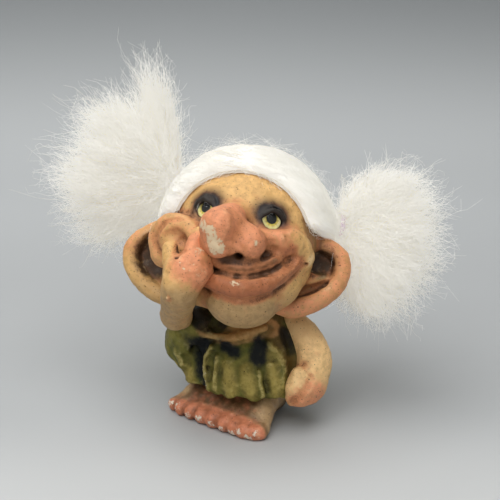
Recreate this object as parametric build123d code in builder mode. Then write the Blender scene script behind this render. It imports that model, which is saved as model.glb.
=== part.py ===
"""Small folk troll ornament: painted hollow castings, wired glass eyes and a fur wig with two tied bunches.

The figure stands on its soles at z = 0 and faces -Y. All sizes are in millimetres.
The head has its own frame at the centre of the skull: x to the figure's left, y to the back, z up.
"""

import os
from math import asin, cos, pi, sin

from build123d import *

# Fits
GLUE_GAP = 0.15  # between two glued castings, or fur and casting
RUN_GAP = 0.3  # between a hair bunch and what it swings against

# Head pose and skull
HEAD_CENTRE = (-1.0, 0.0, 55.7)
HEAD_TURN = 27.0  # towards the figure's left
HEAD_LIFT = 26.0  # face looks up
HEAD_TILT = 3.0  # leans to the figure's left
SKULL_R = 22.5
WALL = 3.0  # thickness of the hollow castings
FACE_SHIFT = 2.5  # mouth and chin are pushed to the figure's left by the hand

# Glass eyes
EYE_R = 3.1
EYE_DOME = 1.9  # height of the glass above its painted back
EYE_SPREAD = 26.8  # degrees each side of the nose
EYE_LIFT = {"left": 6.5, "right": 10.5}  # degrees above the middle of the skull
EYE_SINK = 1.0  # back of the glass below the skull's surface
IRIS_THICK = 0.4
WIRE_R = 0.4
WIRE_LENGTH = 4.0

# Nose
NOSE_BULB_R = 6.5
NOSE_LOW_R = 4.9  # drop of the nose below its bulb
NOSE_REACH = 37.4  # from the middle of the skull to the tip
NOSE_ROOT_R = 5.5
NOSTRIL_WING_R = 4.4
NOSTRIL_R = 1.7

# Mouth, cheeks and chin
CHEEK_R = 8.3
MUZZLE_R = 12.0
LIP_R = 2.7
MOUTH_GAP = 1.8
CHIN_R = 8.2
CHIN_DROP = 28.5  # from the middle of the skull to the chin's lowest point

# Ears
EAR_REACH = {"left": 31.0, "right": 35.0}
EAR_THICK = 6.0
EAR_BACK = 1.5  # behind the skull's middle
EAR_TOP = 1.2  # notch of the wig above the skull's middle
EAR_HEIGHT = 21.0
EAR_BOWL_DEPTH = 3.4

# Fur wig
BACKING_THICK = 0.8
FUR_THICK = 3.6
HAIRLINE_SET = 11.0  # hairline plane in front of the skull's middle
HAIRLINE_SLOPE = 19.0  # degrees that the hairline plane leans back
NAPE_SET = 3.0  # lower edge below the skull's middle
NAPE_SLOPE = 20.0

# Tied bunches
STUB_R = 3.1  # gathered fur inside the tie
TIE_R = 1.1
TIE_STAND = 2.0  # tie's middle outside the fur
TIE_SPOT = {"left": (25.0, 10.5, 6.0), "right": (-24.0, 8.0, 14.5)}  # direction from the skull's middle
BUNCH_POINTS = {"left": (0.95, 0.28, -0.12), "right": (-0.86, 0.06, 0.51)}
BUNCH_LENGTH = {"left": 35.0, "right": 41.0}
BUNCH_HALF_WIDTH = {"left": 25.5, "right": 28.0}
BUNCH_HALF_DEPTH = {"left": 16.0, "right": 17.0}
BUNCH_LOBES = 7
BUNCH_PARTING = {"right": 32.0}  # degrees from the bunch's axis to the dip between its two locks
PARTING_R = 5.0
BUNCH_SWING = 25.0  # degrees a bunch can lean over its tie

# Tunic and torso
NECK_R = 7.0
NECK_LENGTH = 7.5  # spigot that the head is glued on
SHOULDER_Z = 32.0
TUNIC_TOP = (10.5, 9.5)  # half width and half depth at the neck
TUNIC_CHEST = (17.0, 14.0)
TUNIC_HEM = (20.8, 17.4)
CHEST_Z = 25.0
HEM_Z = 11.0
HEM_WALL = 2.0
HEM_FOLDS = 9
FOLD_DEPTH = 0.07
SLEEVE_R = 8.5

# Feet
TOE_LINE = -16.5
HEEL_LINE = 8.5
TOE_SPREAD = 17.5  # outer toe from the middle
HEEL_SPREAD = 7.5
TOE_R = 2.7
TOES = 5
FOOT_NOTCH = 1.6
FEET_SHIFT = -1.4  # the weight is on the right foot
INSTEP_Z = 10.5
LEG_PLUG_R = 9.5
LEG_PLUG_TOP = 16.0

# Arms
ARM_R = 5.7
FIST_R = 5.6
FINGER_R = 2.3
PEG_R = 2.5


def turned(vector):
    """A direction of the head's frame as it stands on the figure."""
    return vector.rotate(Axis.Y, HEAD_TILT).rotate(Axis.X, -HEAD_LIFT).rotate(Axis.Z, HEAD_TURN)


HEAD = Plane(HEAD_CENTRE, x_dir=turned(Vector(1, 0, 0)), z_dir=turned(Vector(0, 0, 1)))


def on_head(x, y, z):
    """A point of the head's frame as it stands on the figure."""
    return HEAD.from_local_coords(Vector(x, y, z))


def across(axis):
    """Any direction square to an axis."""
    side = Vector(0, 0, 1) if abs(axis.Z) < 0.9 else Vector(1, 0, 0)
    return axis.cross(side).normalized()


def ball(centre, radius, mode=Mode.ADD):
    """A sphere round a point."""
    with Locations(centre):
        Sphere(radius, mode=mode)


def round_cone(start, start_r, end, end_r, mode=Mode.ADD):
    """Two balls and the cone that is tangent to both."""
    axis = (end - start).normalized()
    length = (end - start).length
    lean = asin((start_r - end_r) / length)
    profile_plane = Plane(start, x_dir=across(axis), z_dir=across(axis).cross(axis))
    first = (start_r * cos(lean), start_r * sin(lean))
    second = (end_r * cos(lean), length + end_r * sin(lean))
    low, high = (lean - pi / 2) / 2, (lean + pi / 2) / 2
    with BuildSketch(profile_plane) as profile:
        with BuildLine():
            ThreePointArc((0, -start_r), (start_r * cos(low), start_r * sin(low)), first)
            Line(first, second)
            ThreePointArc(second, (end_r * cos(high), length + end_r * sin(high)), (0, length + end_r))
            Line((0, length + end_r), (0, -start_r))
        make_face()
    revolve(profile.sketch, axis=Axis(start, axis), mode=mode)


def roll(points, radius, mode=Mode.ADD):
    """A round bead or groove along an arc through three points, with ball ends."""
    with BuildLine() as path:
        ThreePointArc(*points)
    with BuildSketch(Plane(path.line @ 0, z_dir=path.line % 0)) as section:
        Circle(radius)
    sweep(section.sketch, path=path.line, mode=mode)
    ball(points[0], radius, mode)
    ball(points[2], radius, mode)


def ring_section(plane, half_width, half_depth, folds, depth):
    """Closed outline of an ellipse with soft folds round it."""
    count = 4 * folds
    points = []
    for step in range(count):
        angle = 2 * pi * step / count
        swell = 1 + depth * cos(folds * angle)
        points.append((half_width * swell * cos(angle), half_depth * swell * sin(angle)))
    with BuildSketch(plane) as section:
        with BuildLine():
            Spline(*points, periodic=True)
        make_face()
    return section.sketch


def on_skull(x, y, z):
    """A point of the head's frame given in skull radii."""
    return on_head(x * SKULL_R, y * SKULL_R, z * SKULL_R)


# Places on the head that several pieces share
SIDES = {"left": 1, "right": -1}
CHEEK_SPOT = {name: on_skull(side * 0.69, -0.61, -0.2) for name, side in SIDES.items()}
MUZZLE_ENDS = (on_skull(-0.2, -0.66, -0.58), on_skull(0.356, -0.62, -0.55))
CHIN_SPOT = on_head(1.4 * FACE_SHIFT, -0.74 * SKULL_R, CHIN_R - CHIN_DROP)
NOSE_TIP_SPOT = on_head(-1.5, NOSE_BULB_R - NOSE_REACH, -1.9)
NOSE_LOW_SPOT = on_head(-1.5, NOSE_BULB_R - NOSE_REACH + 0.5, -6.3)
NOSE_ROOT_SPOT = on_skull(0.0, -0.82, 0.05)
WING_SPOT = {"left": on_head(5.6, -1.17 * SKULL_R, -6.4), "right": on_head(-4.4, -1.15 * SKULL_R, -6.9)}
MOUTH_SHIFT = FACE_SHIFT / SKULL_R
UPPER_LIP = (
    on_skull(-0.4, -1.0, -0.542),
    on_skull(MOUTH_SHIFT, -1.156, -0.622),
    on_skull(0.644, -0.844, -0.356),
)
MOUTH_LINE = (
    on_skull(-0.4, -1.089, -0.653),
    on_skull(1.2 * MOUTH_SHIFT, -1.271, -0.733),
    on_skull(0.689, -0.911, -0.427),
)
LOWER_LIP = (
    on_skull(-0.4, -0.978, -0.782),
    on_skull(1.2 * MOUTH_SHIFT, -1.147, -0.853),
    on_skull(0.711, -0.8, -0.511),
)


def head_mass(grow=0.0):
    """Outside of the head without its ears, grown by a gap."""
    ball(HEAD.origin, SKULL_R + grow)
    for spot in CHEEK_SPOT.values():
        ball(spot, CHEEK_R + grow)
    round_cone(MUZZLE_ENDS[0], MUZZLE_R + grow, MUZZLE_ENDS[1], MUZZLE_R + grow)
    ball(CHIN_SPOT, CHIN_R + grow)
    round_cone(NOSE_ROOT_SPOT, NOSE_ROOT_R + grow, NOSE_TIP_SPOT, NOSE_BULB_R + grow)
    round_cone(NOSE_TIP_SPOT, NOSE_BULB_R - 0.3 + grow, NOSE_LOW_SPOT, NOSE_LOW_R + grow)
    for spot in WING_SPOT.values():
        ball(spot, NOSTRIL_WING_R + grow)
    roll(UPPER_LIP, LIP_R + grow)
    roll(LOWER_LIP, LIP_R + grow)


def ear_mass(name):
    """One ear as a thick rounded plate that faces forward."""
    side, reach = SIDES[name], EAR_REACH[name]
    root = 0.62 * SKULL_R
    span = reach - root
    outline = [
        (root + 0.15 * span, -0.5),
        (root + 0.6 * span, 0.0),
        (reach, -0.38 * EAR_HEIGHT),
        (root + 0.68 * span, -0.8 * EAR_HEIGHT),
        (root + 0.1 * span, -EAR_HEIGHT),
        (root - 3.0, -0.5 * EAR_HEIGHT),
    ]
    back = on_head(0, EAR_BACK, 0)
    with BuildSketch(Plane(back, x_dir=HEAD.x_dir, z_dir=-HEAD.y_dir)) as plate:
        with BuildLine():
            Spline(*[(side * x, z) for x, z in outline], periodic=True)
        make_face()
    extrude(plate.sketch, amount=EAR_THICK)


def eye_plane(name):
    """Flat back of one glass eye, square to the skull."""
    turn, lift = SIDES[name] * EYE_SPREAD * pi / 180, EYE_LIFT[name] * pi / 180
    out = Vector(sin(turn) * cos(lift), -cos(turn) * cos(lift), sin(lift))
    return Plane(on_head(*(out * (SKULL_R - EYE_SINK))), z_dir=turned(out))


def tunic_mass(grow=0.0):
    """Outside of the tunic with the sleeve of the raised arm, grown by a gap."""
    waist = (0.45 * TUNIC_HEM[0] + 0.55 * TUNIC_CHEST[0], 0.9 * TUNIC_HEM[1])
    sections = (
        (HEM_Z - grow, TUNIC_HEM, FOLD_DEPTH),
        ((HEM_Z + CHEST_Z) / 2, waist, 0.6 * FOLD_DEPTH),
        (CHEST_Z, TUNIC_CHEST, 0.3 * FOLD_DEPTH),
        (SHOULDER_Z + 4.0, TUNIC_TOP, 0.1 * FOLD_DEPTH),
    )
    rings = []
    for z, (half_width, half_depth), depth in sections:
        rings.append(ring_section(Plane.XY.offset(z), half_width + grow, half_depth + grow, HEM_FOLDS, depth))
    loft(rings)
    round_cone(Vector(-17, -7, 21), SLEEVE_R + grow, Vector(-11, -10, 28), SLEEVE_R - 2.0 + grow)


# Pegs and sockets of the arms: start in the torso, then the direction outwards
ARM_PEG = {
    "left": (Vector(12.0, 3.0, 27.0), Vector(0.8, 0.0, 0.2).normalized()),
    "right": (Vector(-11.5, -13.5, 27.5), Vector(0.35, -0.85, 0.3).normalized()),
}


def peg(name, radius, length, mode=Mode.ADD):
    """Round peg of one arm, or its socket."""
    start, out = ARM_PEG[name]
    with Locations(Plane(start, z_dir=out)):
        Cylinder(radius, length, align=(Align.CENTER, Align.CENTER, Align.MIN), mode=mode)


os.makedirs("parts", exist_ok=True)

# Hollow head with open neck, eye sockets, mouth, nostrils and cupped ears
with BuildPart() as head_casting:
    head_mass()
    for name in SIDES:
        ear_mass(name)
        with Locations(eye_plane(name).offset(EYE_SINK - 0.2)):
            Torus(EYE_R + 0.7, 0.8)
    for name, side in SIDES.items():
        middle = side * (0.5 * (0.62 * SKULL_R + EAR_REACH[name]) + 1.0)
        front = EAR_BACK - EAR_THICK - 0.9
        upper, lower = on_head(middle, front, -0.34 * EAR_HEIGHT), on_head(middle, front, -0.56 * EAR_HEIGHT)
        round_cone(upper, EAR_BOWL_DEPTH + 0.9, lower, EAR_BOWL_DEPTH + 0.5, mode=Mode.SUBTRACT)
    roll(MOUTH_LINE, MOUTH_GAP / 2, mode=Mode.SUBTRACT)
    for spot in WING_SPOT.values():
        nostril = spot - HEAD.z_dir * (NOSTRIL_WING_R - 0.9) - HEAD.y_dir * 1.4
        ball(nostril, NOSTRIL_R, mode=Mode.SUBTRACT)
    for name in SIDES:
        with Locations(eye_plane(name).offset(-IRIS_THICK - GLUE_GAP)):
            Cylinder(EYE_R + GLUE_GAP, 9, align=(Align.CENTER, Align.CENTER, Align.MIN), mode=Mode.SUBTRACT)
            Cylinder(WIRE_R + GLUE_GAP, 12, mode=Mode.SUBTRACT)
    ball(HEAD.origin, SKULL_R - WALL, mode=Mode.SUBTRACT)
    round_cone(MUZZLE_ENDS[0], MUZZLE_R - WALL, MUZZLE_ENDS[1], MUZZLE_R - WALL, mode=Mode.SUBTRACT)
    with Locations((HEAD_CENTRE[0], HEAD_CENTRE[1], SHOULDER_Z)):
        Cylinder(NECK_R + GLUE_GAP, 12, mode=Mode.SUBTRACT)
head_casting.part.label = "head_casting"
export_step(head_casting.part, "parts/head_casting.step")

# Glass eyes, their painted backs and the wires that hold them
for name in SIDES:
    seat = eye_plane(name)
    dome_r = (EYE_R**2 + EYE_DOME**2) / (2 * EYE_DOME)
    with BuildPart(seat) as eye_glass:
        with Locations((0, 0, EYE_DOME - dome_r)):
            Sphere(dome_r)
        split(bisect_by=seat, keep=Keep.TOP)
    eye_glass.part.label = name + "_eye_glass"
    export_step(eye_glass.part, "parts/" + name + "_eye_glass.step")
    with BuildPart(seat.offset(-IRIS_THICK)) as iris:
        Cylinder(EYE_R, IRIS_THICK, align=(Align.CENTER, Align.CENTER, Align.MIN))
    iris.part.label = name + "_iris"
    export_step(iris.part, "parts/" + name + "_iris.step")
    stem = seat.offset(-IRIS_THICK)
    with BuildPart() as eye_wire:
        with BuildSketch(stem):
            Circle(WIRE_R)
        with BuildLine(Plane(stem.origin, x_dir=stem.x_dir, z_dir=-stem.y_dir)) as bend:
            FilletPolyline((0, 0), (0, -WIRE_LENGTH), (WIRE_LENGTH * 0.7, -WIRE_LENGTH), radius=1.2)
        sweep(path=bend.line)
    eye_wire.part.label = name + "_eye_wire"
    export_step(eye_wire.part, "parts/" + name + "_eye_wire.step")

# Hide of the fur wig, glued on the skull
BACKING_INNER = SKULL_R + GLUE_GAP
BACKING_OUTER = BACKING_INNER + BACKING_THICK
FUR_INNER = BACKING_OUTER + GLUE_GAP
FUR_OUTER = FUR_INNER + FUR_THICK
HAIRLINE_OUT = turned(Vector(0, cos(HAIRLINE_SLOPE * pi / 180), sin(HAIRLINE_SLOPE * pi / 180)))
HAIRLINE = Plane(HEAD.origin - HAIRLINE_OUT * HAIRLINE_SET, z_dir=HAIRLINE_OUT)
NAPE_OUT = turned(Vector(0, sin(NAPE_SLOPE * pi / 180), cos(NAPE_SLOPE * pi / 180)))
NAPE = Plane(HEAD.origin - NAPE_OUT * NAPE_SET, z_dir=NAPE_OUT)


def trim_to_hairline():
    """Take away what lies in front of the hairline, below the nape and where the cheeks and ears stand."""
    side = 6 * SKULL_R
    with Locations(HAIRLINE, NAPE):
        Box(side, side, side, align=(Align.CENTER, Align.CENTER, Align.MAX), mode=Mode.SUBTRACT)
    for spot in CHEEK_SPOT.values():
        ball(spot, CHEEK_R + GLUE_GAP, mode=Mode.SUBTRACT)
    notch = Plane(on_head(0, EAR_BACK + GLUE_GAP, EAR_TOP), x_dir=HEAD.x_dir, z_dir=HEAD.z_dir)
    with Locations(notch):
        Box(side, side, side, align=(Align.CENTER, Align.MAX, Align.MAX), mode=Mode.SUBTRACT)


with BuildPart() as scalp_backing:
    ball(HEAD.origin, BACKING_OUTER)
    ball(HEAD.origin, BACKING_INNER, mode=Mode.SUBTRACT)
    trim_to_hairline()
scalp_backing.part.label = "scalp_backing"
export_step(scalp_backing.part, "parts/scalp_backing.step")

# Where each bunch is tied: its plane looks along the bunch, with x in the plane that the bunch swings in
TIE_PLANE = {}
for name in SIDES:
    spot = Vector(*TIE_SPOT[name]).normalized() * (FUR_OUTER + TIE_STAND)
    along = turned(Vector(*BUNCH_POINTS[name])).normalized()
    swing_axis = (HEAD.y_dir - along * HEAD.y_dir.dot(along)).normalized()
    TIE_PLANE[name] = Plane(on_head(*spot), x_dir=swing_axis.cross(along), z_dir=along)
TIE_MAJOR = STUB_R + TIE_R

# Combed fur over the skull with a gathered stub for each bunch
with BuildPart() as hair_cap:
    ball(HEAD.origin, FUR_OUTER)
    for tie_plane in TIE_PLANE.values():
        inside = tie_plane.origin - tie_plane.z_dir * 8.0
        round_cone(inside, 2.0 * STUB_R, tie_plane.origin, STUB_R)
    ball(HEAD.origin, FUR_INNER, mode=Mode.SUBTRACT)
    trim_to_hairline()
    for tie_plane in TIE_PLANE.values():
        with Locations(tie_plane):
            Torus(TIE_MAJOR, TIE_R + GLUE_GAP, mode=Mode.SUBTRACT)
hair_cap.part.label = "hair_cap"
export_step(hair_cap.part, "parts/hair_cap.step")


def tie_clearance(tie_plane):
    """Room for the tie at the foot of a bunch, over all the bunch's swing."""
    reach = TIE_MAJOR + TIE_R + RUN_GAP
    rise = BUNCH_SWING * pi / 180 + asin((TIE_R + RUN_GAP) / TIE_MAJOR)
    half = (rise - pi / 2) / 2
    edge = (reach * cos(rise), reach * sin(rise))
    with BuildSketch(Plane(tie_plane.origin, x_dir=tie_plane.x_dir, z_dir=-tie_plane.y_dir)) as profile:
        with BuildLine():
            Line((0, 0), edge)
            ThreePointArc(edge, (reach * cos(half), reach * sin(half)), (0, -reach))
            Line((0, -reach), (0, 0))
        make_face()
    revolve(profile.sketch, axis=Axis(tie_plane.origin, tie_plane.z_dir), mode=Mode.SUBTRACT)


# Elastic ties and the loose bunches that swing on the tied stubs
BUNCH_SECTIONS = ((0.055, 0.1), (0.2, 0.54), (0.42, 0.88), (0.66, 1.0), (0.88, 0.8), (1.0, 0.38))
for name, tie_plane in TIE_PLANE.items():
    with BuildPart(tie_plane) as hair_tie:
        Torus(TIE_MAJOR, TIE_R)
    hair_tie.part.label = name + "_hair_tie"
    export_step(hair_tie.part, "parts/" + name + "_hair_tie.step")
    with BuildPart() as hair_bunch:
        rings = []
        for along, wide in BUNCH_SECTIONS:
            ring_plane = tie_plane.offset(along * BUNCH_LENGTH[name])
            half_width, half_depth = wide * BUNCH_HALF_WIDTH[name], wide * BUNCH_HALF_DEPTH[name]
            rings.append(ring_section(ring_plane, half_width, half_depth, BUNCH_LOBES, 0.08))
        loft(rings)
        ball(tie_plane.origin, STUB_R + RUN_GAP, mode=Mode.SUBTRACT)
        tie_clearance(tie_plane)
        if name in BUNCH_PARTING:
            lean = BUNCH_PARTING[name] * pi / 180
            dip = tie_plane.from_local_coords(Vector(sin(lean), 0, cos(lean)) * BUNCH_LENGTH[name])
            through = tie_plane.y_dir * BUNCH_HALF_DEPTH[name]
            round_cone(dip - through, PARTING_R, dip + through, PARTING_R, mode=Mode.SUBTRACT)
    hair_bunch.part.label = name + "_hair_bunch"
    export_step(hair_bunch.part, "parts/" + name + "_hair_bunch.step")

# Torso and tunic in one casting, with a seat for the head, a neck spigot and a bore for the legs
with BuildPart() as head_clear:
    head_mass(GLUE_GAP)
BORE_R = LEG_PLUG_R + GLUE_GAP
BORE_TOP = CHEST_Z + 2.0
with BuildPart() as body_casting:
    tunic_mass()
    add(head_clear.part, mode=Mode.SUBTRACT)
    with Locations((HEAD_CENTRE[0], HEAD_CENTRE[1], CHEST_Z)):
        spigot_length = HEAD_CENTRE[2] - SKULL_R + NECK_LENGTH - CHEST_Z
        Cylinder(NECK_R, spigot_length, align=(Align.CENTER, Align.CENTER, Align.MIN))
    Cylinder(BORE_R, BORE_TOP, align=(Align.CENTER, Align.CENTER, Align.MIN), mode=Mode.SUBTRACT)
    with BuildSketch(Plane.XY.offset(HEM_Z - 2.0)):
        Ellipse(TUNIC_HEM[0] - HEM_WALL, TUNIC_HEM[1] - HEM_WALL)
    with BuildSketch(Plane.XY.offset(INSTEP_Z + 2.5)):
        Ellipse(TUNIC_CHEST[0] - HEM_WALL, TUNIC_CHEST[1] - HEM_WALL)
    loft(mode=Mode.SUBTRACT)
    for name in SIDES:
        peg(name, PEG_R + GLUE_GAP, 12.0, mode=Mode.SUBTRACT)
body_casting.part.label = "body_casting"
export_step(body_casting.part, "parts/body_casting.step")

# Two splayed feet with toes, merged in one block on a leg plug
with BuildPart() as feet_casting:
    sole = (TOE_SPREAD, TOE_LINE), (0.6 * TOE_SPREAD, 0.25 * TOE_LINE), (HEEL_SPREAD, HEEL_LINE)
    ankle = 0.77 * TOE_SPREAD
    instep = (ankle, 0.5 * TOE_LINE), (ankle, 0.1 * TOE_LINE), (HEEL_SPREAD, HEEL_LINE)
    for z, outline in ((0.0, sole), (INSTEP_Z, instep)):
        with BuildSketch(Plane.XY.offset(z)):
            with BuildLine():
                right_side = [(-x, y) for x, y in reversed(outline)]
                Polyline(*[(x + FEET_SHIFT, y) for x, y in (*outline, *right_side)], close=True)
            make_face()
            fillet(vertices(), radius=2.0)
    loft()
    for side in SIDES.values():
        for toe in range(TOES):
            share = toe / (TOES - 1)
            radius = TOE_R * (1.1 - 0.25 * share)
            x = side * (FOOT_NOTCH / 2 + TOE_R + share * (TOE_SPREAD - 2 * TOE_R))
            ball(Vector(x + FEET_SHIFT, TOE_LINE + 1.2 + 1.5 * share**2, radius * 0.7), radius)
    split(bisect_by=Plane.XY, keep=Keep.TOP)
    with Locations((FEET_SHIFT, TOE_LINE - 1.0, 0)):
        Cylinder(FOOT_NOTCH, 3 * INSTEP_Z, mode=Mode.SUBTRACT)
    Cylinder(LEG_PLUG_R, LEG_PLUG_TOP, align=(Align.CENTER, Align.CENTER, Align.MIN))
feet_casting.part.label = "feet_casting"
export_step(feet_casting.part, "parts/feet_casting.step")

# Stiff plaster fill between the leg plug and the top of the bore
with BuildPart() as body_fill:
    with Locations((0, 0, LEG_PLUG_TOP + GLUE_GAP)):
        height = BORE_TOP - LEG_PLUG_TOP - 2 * GLUE_GAP
        Cylinder(LEG_PLUG_R, height, align=(Align.CENTER, Align.CENTER, Align.MIN))
body_fill.part.label = "body_fill"
export_step(body_fill.part, "parts/body_fill.step")

# Arms, trimmed to lie on the tunic and the cheek
with BuildPart() as tunic_clear:
    tunic_mass(GLUE_GAP)
with BuildPart() as left_arm:
    elbow, fist = Vector(21.5, 3.5, 19.5), Vector(22.3, -2.0, 14.0)
    round_cone(Vector(14.5, 3.0, 29.0), ARM_R, elbow, ARM_R - 0.2)
    round_cone(elbow, ARM_R + 0.1, fist, FIST_R - 0.6)
    ball(fist, FIST_R)
    for finger in range(3):
        knuckle = fist + Vector(3.6 - 0.4 * finger, -3.0, 1.4 - 2.5 * finger)
        round_cone(knuckle, FINGER_R - 0.2, knuckle + Vector(-5.4, -1.4, -0.4), FINGER_R - 0.4)
    add(tunic_clear.part, mode=Mode.SUBTRACT)
    add(head_clear.part, mode=Mode.SUBTRACT)
    peg("left", PEG_R, 6.0)
left_arm.part.label = "left_arm"
export_step(left_arm.part, "parts/left_arm.step")

with BuildPart() as right_arm:
    elbow, wrist = Vector(-5.5, -25.7, 37.9), on_skull(-0.542, -1.145, -0.93)
    palm, tip = on_skull(-0.525, -1.18, -0.72), on_skull(-0.41, -1.07, -0.19)
    round_cone(Vector(-11.0, -14.5, 28.0), ARM_R - 0.2, elbow, ARM_R - 1.0)
    round_cone(elbow, ARM_R - 0.6, wrist, ARM_R - 0.3)
    round_cone(wrist, ARM_R - 0.5, palm, ARM_R - 0.1)
    round_cone(palm, FINGER_R + 0.9, on_skull(-0.751, -1.05, -0.4), FINGER_R)
    round_cone(palm, FINGER_R + 0.8, tip, FINGER_R - 0.1)
    for finger in range(2):
        curled = on_skull(-0.33 + 0.06 * finger, -1.255, -0.55 - 0.13 * finger)
        round_cone(palm, FINGER_R + 0.5, curled, FINGER_R)
    add(tunic_clear.part, mode=Mode.SUBTRACT)
    add(head_clear.part, mode=Mode.SUBTRACT)
    peg("right", PEG_R, 6.0)
right_arm.part.label = "right_arm"
export_step(right_arm.part, "parts/right_arm.step")
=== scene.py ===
"""Dresses a small folk troll ornament: painted castings, glass eyes and a white fur wig tied in two bunches.

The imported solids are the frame. Sculpted castings, eyes, ties and fur stand in for them, each in its
solid's place. Shapes are worked out in millimetres and become metres when a mesh is made.
"""

from __future__ import annotations

import logging
import math
from dataclasses import dataclass, field
from enum import Enum
from typing import ClassVar, Protocol, Sequence

import bpy
import numpy as np
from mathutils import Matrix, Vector


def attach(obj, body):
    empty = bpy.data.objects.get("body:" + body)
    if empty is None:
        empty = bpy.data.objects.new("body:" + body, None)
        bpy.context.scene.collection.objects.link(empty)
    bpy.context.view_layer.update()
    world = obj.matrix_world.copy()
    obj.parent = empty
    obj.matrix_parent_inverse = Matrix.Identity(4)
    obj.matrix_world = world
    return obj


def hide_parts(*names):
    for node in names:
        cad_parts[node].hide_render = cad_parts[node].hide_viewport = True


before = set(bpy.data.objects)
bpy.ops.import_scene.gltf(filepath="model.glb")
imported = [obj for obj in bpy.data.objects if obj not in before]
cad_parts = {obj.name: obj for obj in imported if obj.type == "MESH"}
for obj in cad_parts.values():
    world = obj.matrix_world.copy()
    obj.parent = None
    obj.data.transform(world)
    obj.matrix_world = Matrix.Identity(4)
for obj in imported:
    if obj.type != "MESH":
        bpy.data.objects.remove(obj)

log = logging.getLogger("troll")
Array = np.ndarray
Point = tuple[float, float, float]
Colour = tuple[float, float, float]
Material = bpy.types.Material
Socket = bpy.types.NodeSocket
MM = 0.001
SEED = 41


class Body(Enum):
    """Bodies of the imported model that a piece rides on."""

    FIGURE = "figure"
    LEFT_BUNCH = "left_bunch"
    RIGHT_BUNCH = "right_bunch"


class Side(Enum):
    """The figure's own left and right, with the sign of x in the head's frame."""

    LEFT = 1
    RIGHT = -1


class Join(Enum):
    """How a shape meets what was sculpted before it."""

    ADD = "add"
    CARVE = "carve"


@dataclass(frozen=True)
class HeadFrame:
    """Turned frame of the head: x to the figure's left, y to the back, z up, from the middle of the skull."""

    centre: Point = (-1.0, 0.0, 55.7)
    turn: float = 27.0
    lift: float = 26.0
    tilt: float = 3.0

    def matrix(self) -> Array:
        """Rotation from the head's frame to the figure's."""
        a, b, c = math.radians(self.turn), math.radians(-self.lift), math.radians(self.tilt)
        turn = np.array([[math.cos(a), -math.sin(a), 0], [math.sin(a), math.cos(a), 0], [0, 0, 1]])
        lift = np.array([[1, 0, 0], [0, math.cos(b), -math.sin(b)], [0, math.sin(b), math.cos(b)]])
        tilt = np.array([[math.cos(c), 0, math.sin(c)], [0, 1, 0], [-math.sin(c), 0, math.cos(c)]])
        return turn @ lift @ tilt

    def to_world(self, points: Array | Sequence) -> Array:
        """Points of the head's frame as they stand on the figure."""
        return np.asarray(points, float) @ self.matrix().T + np.array(self.centre)

    def spot(self, x: float, y: float, z: float) -> Point:
        """One point of the head's frame as it stands on the figure."""
        return tuple(self.to_world((x, y, z)))


HEAD = HeadFrame()


def unit(vector: Array | Sequence) -> Array:
    """The vector, or each row of vectors, at length one."""
    v = np.asarray(vector, float)
    return v / np.linalg.norm(v, axis=-1, keepdims=True)


def spokes(axis: Array, turn: Array) -> Array:
    """Directions square to an axis that isn't upright, at angles round it."""
    first = unit(np.cross(axis, (0, 0, 1)))
    return np.cos(turn)[:, None] * first + np.sin(turn)[:, None] * np.cross(axis, first)


def ease(value: Array, low: float, high: float) -> Array:
    """Smooth step.

    Args:
        value: Values to map.
        low: Value that gives 0.
        high: Value that gives 1; may be below low.

    Returns:
        Values from 0 to 1.
    """
    t = np.clip((value - low) / (high - low), 0.0, 1.0)
    return t * t * (3.0 - 2.0 * t)


def soft_least(a: Array, b: Array, soft: float) -> Array:
    """The lesser of two distance fields, rounded where they cross."""
    h = np.clip(0.5 + 0.5 * (b - a) / soft, 0.0, 1.0)
    return b + (a - b) * h - soft * h * (1.0 - h)


class Shape(Protocol):
    """A solid known by its distance field."""

    def reach(self) -> tuple[Array, Array]:
        """Lowest and highest corner."""

    def distance(self, p: Array) -> Array:
        """Distance of each point from the surface, negative inside."""


@dataclass(frozen=True)
class Blob:
    """An egg of clay."""

    centre: Point
    radii: Point

    def reach(self) -> tuple[Array, Array]:
        """Lowest and highest corner."""
        return np.subtract(self.centre, self.radii), np.add(self.centre, self.radii)

    def distance(self, p: Array) -> Array:
        """Distance of each point from the surface, negative inside."""
        q = (p - np.array(self.centre, p.dtype)) / np.array(self.radii, p.dtype)
        near = np.sqrt(np.einsum("ij,ij->i", q, q))
        q /= np.array(self.radii, p.dtype)
        slope = np.sqrt(np.einsum("ij,ij->i", q, q))
        return near * (near - 1.0) / np.maximum(slope, 1e-6)


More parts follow.
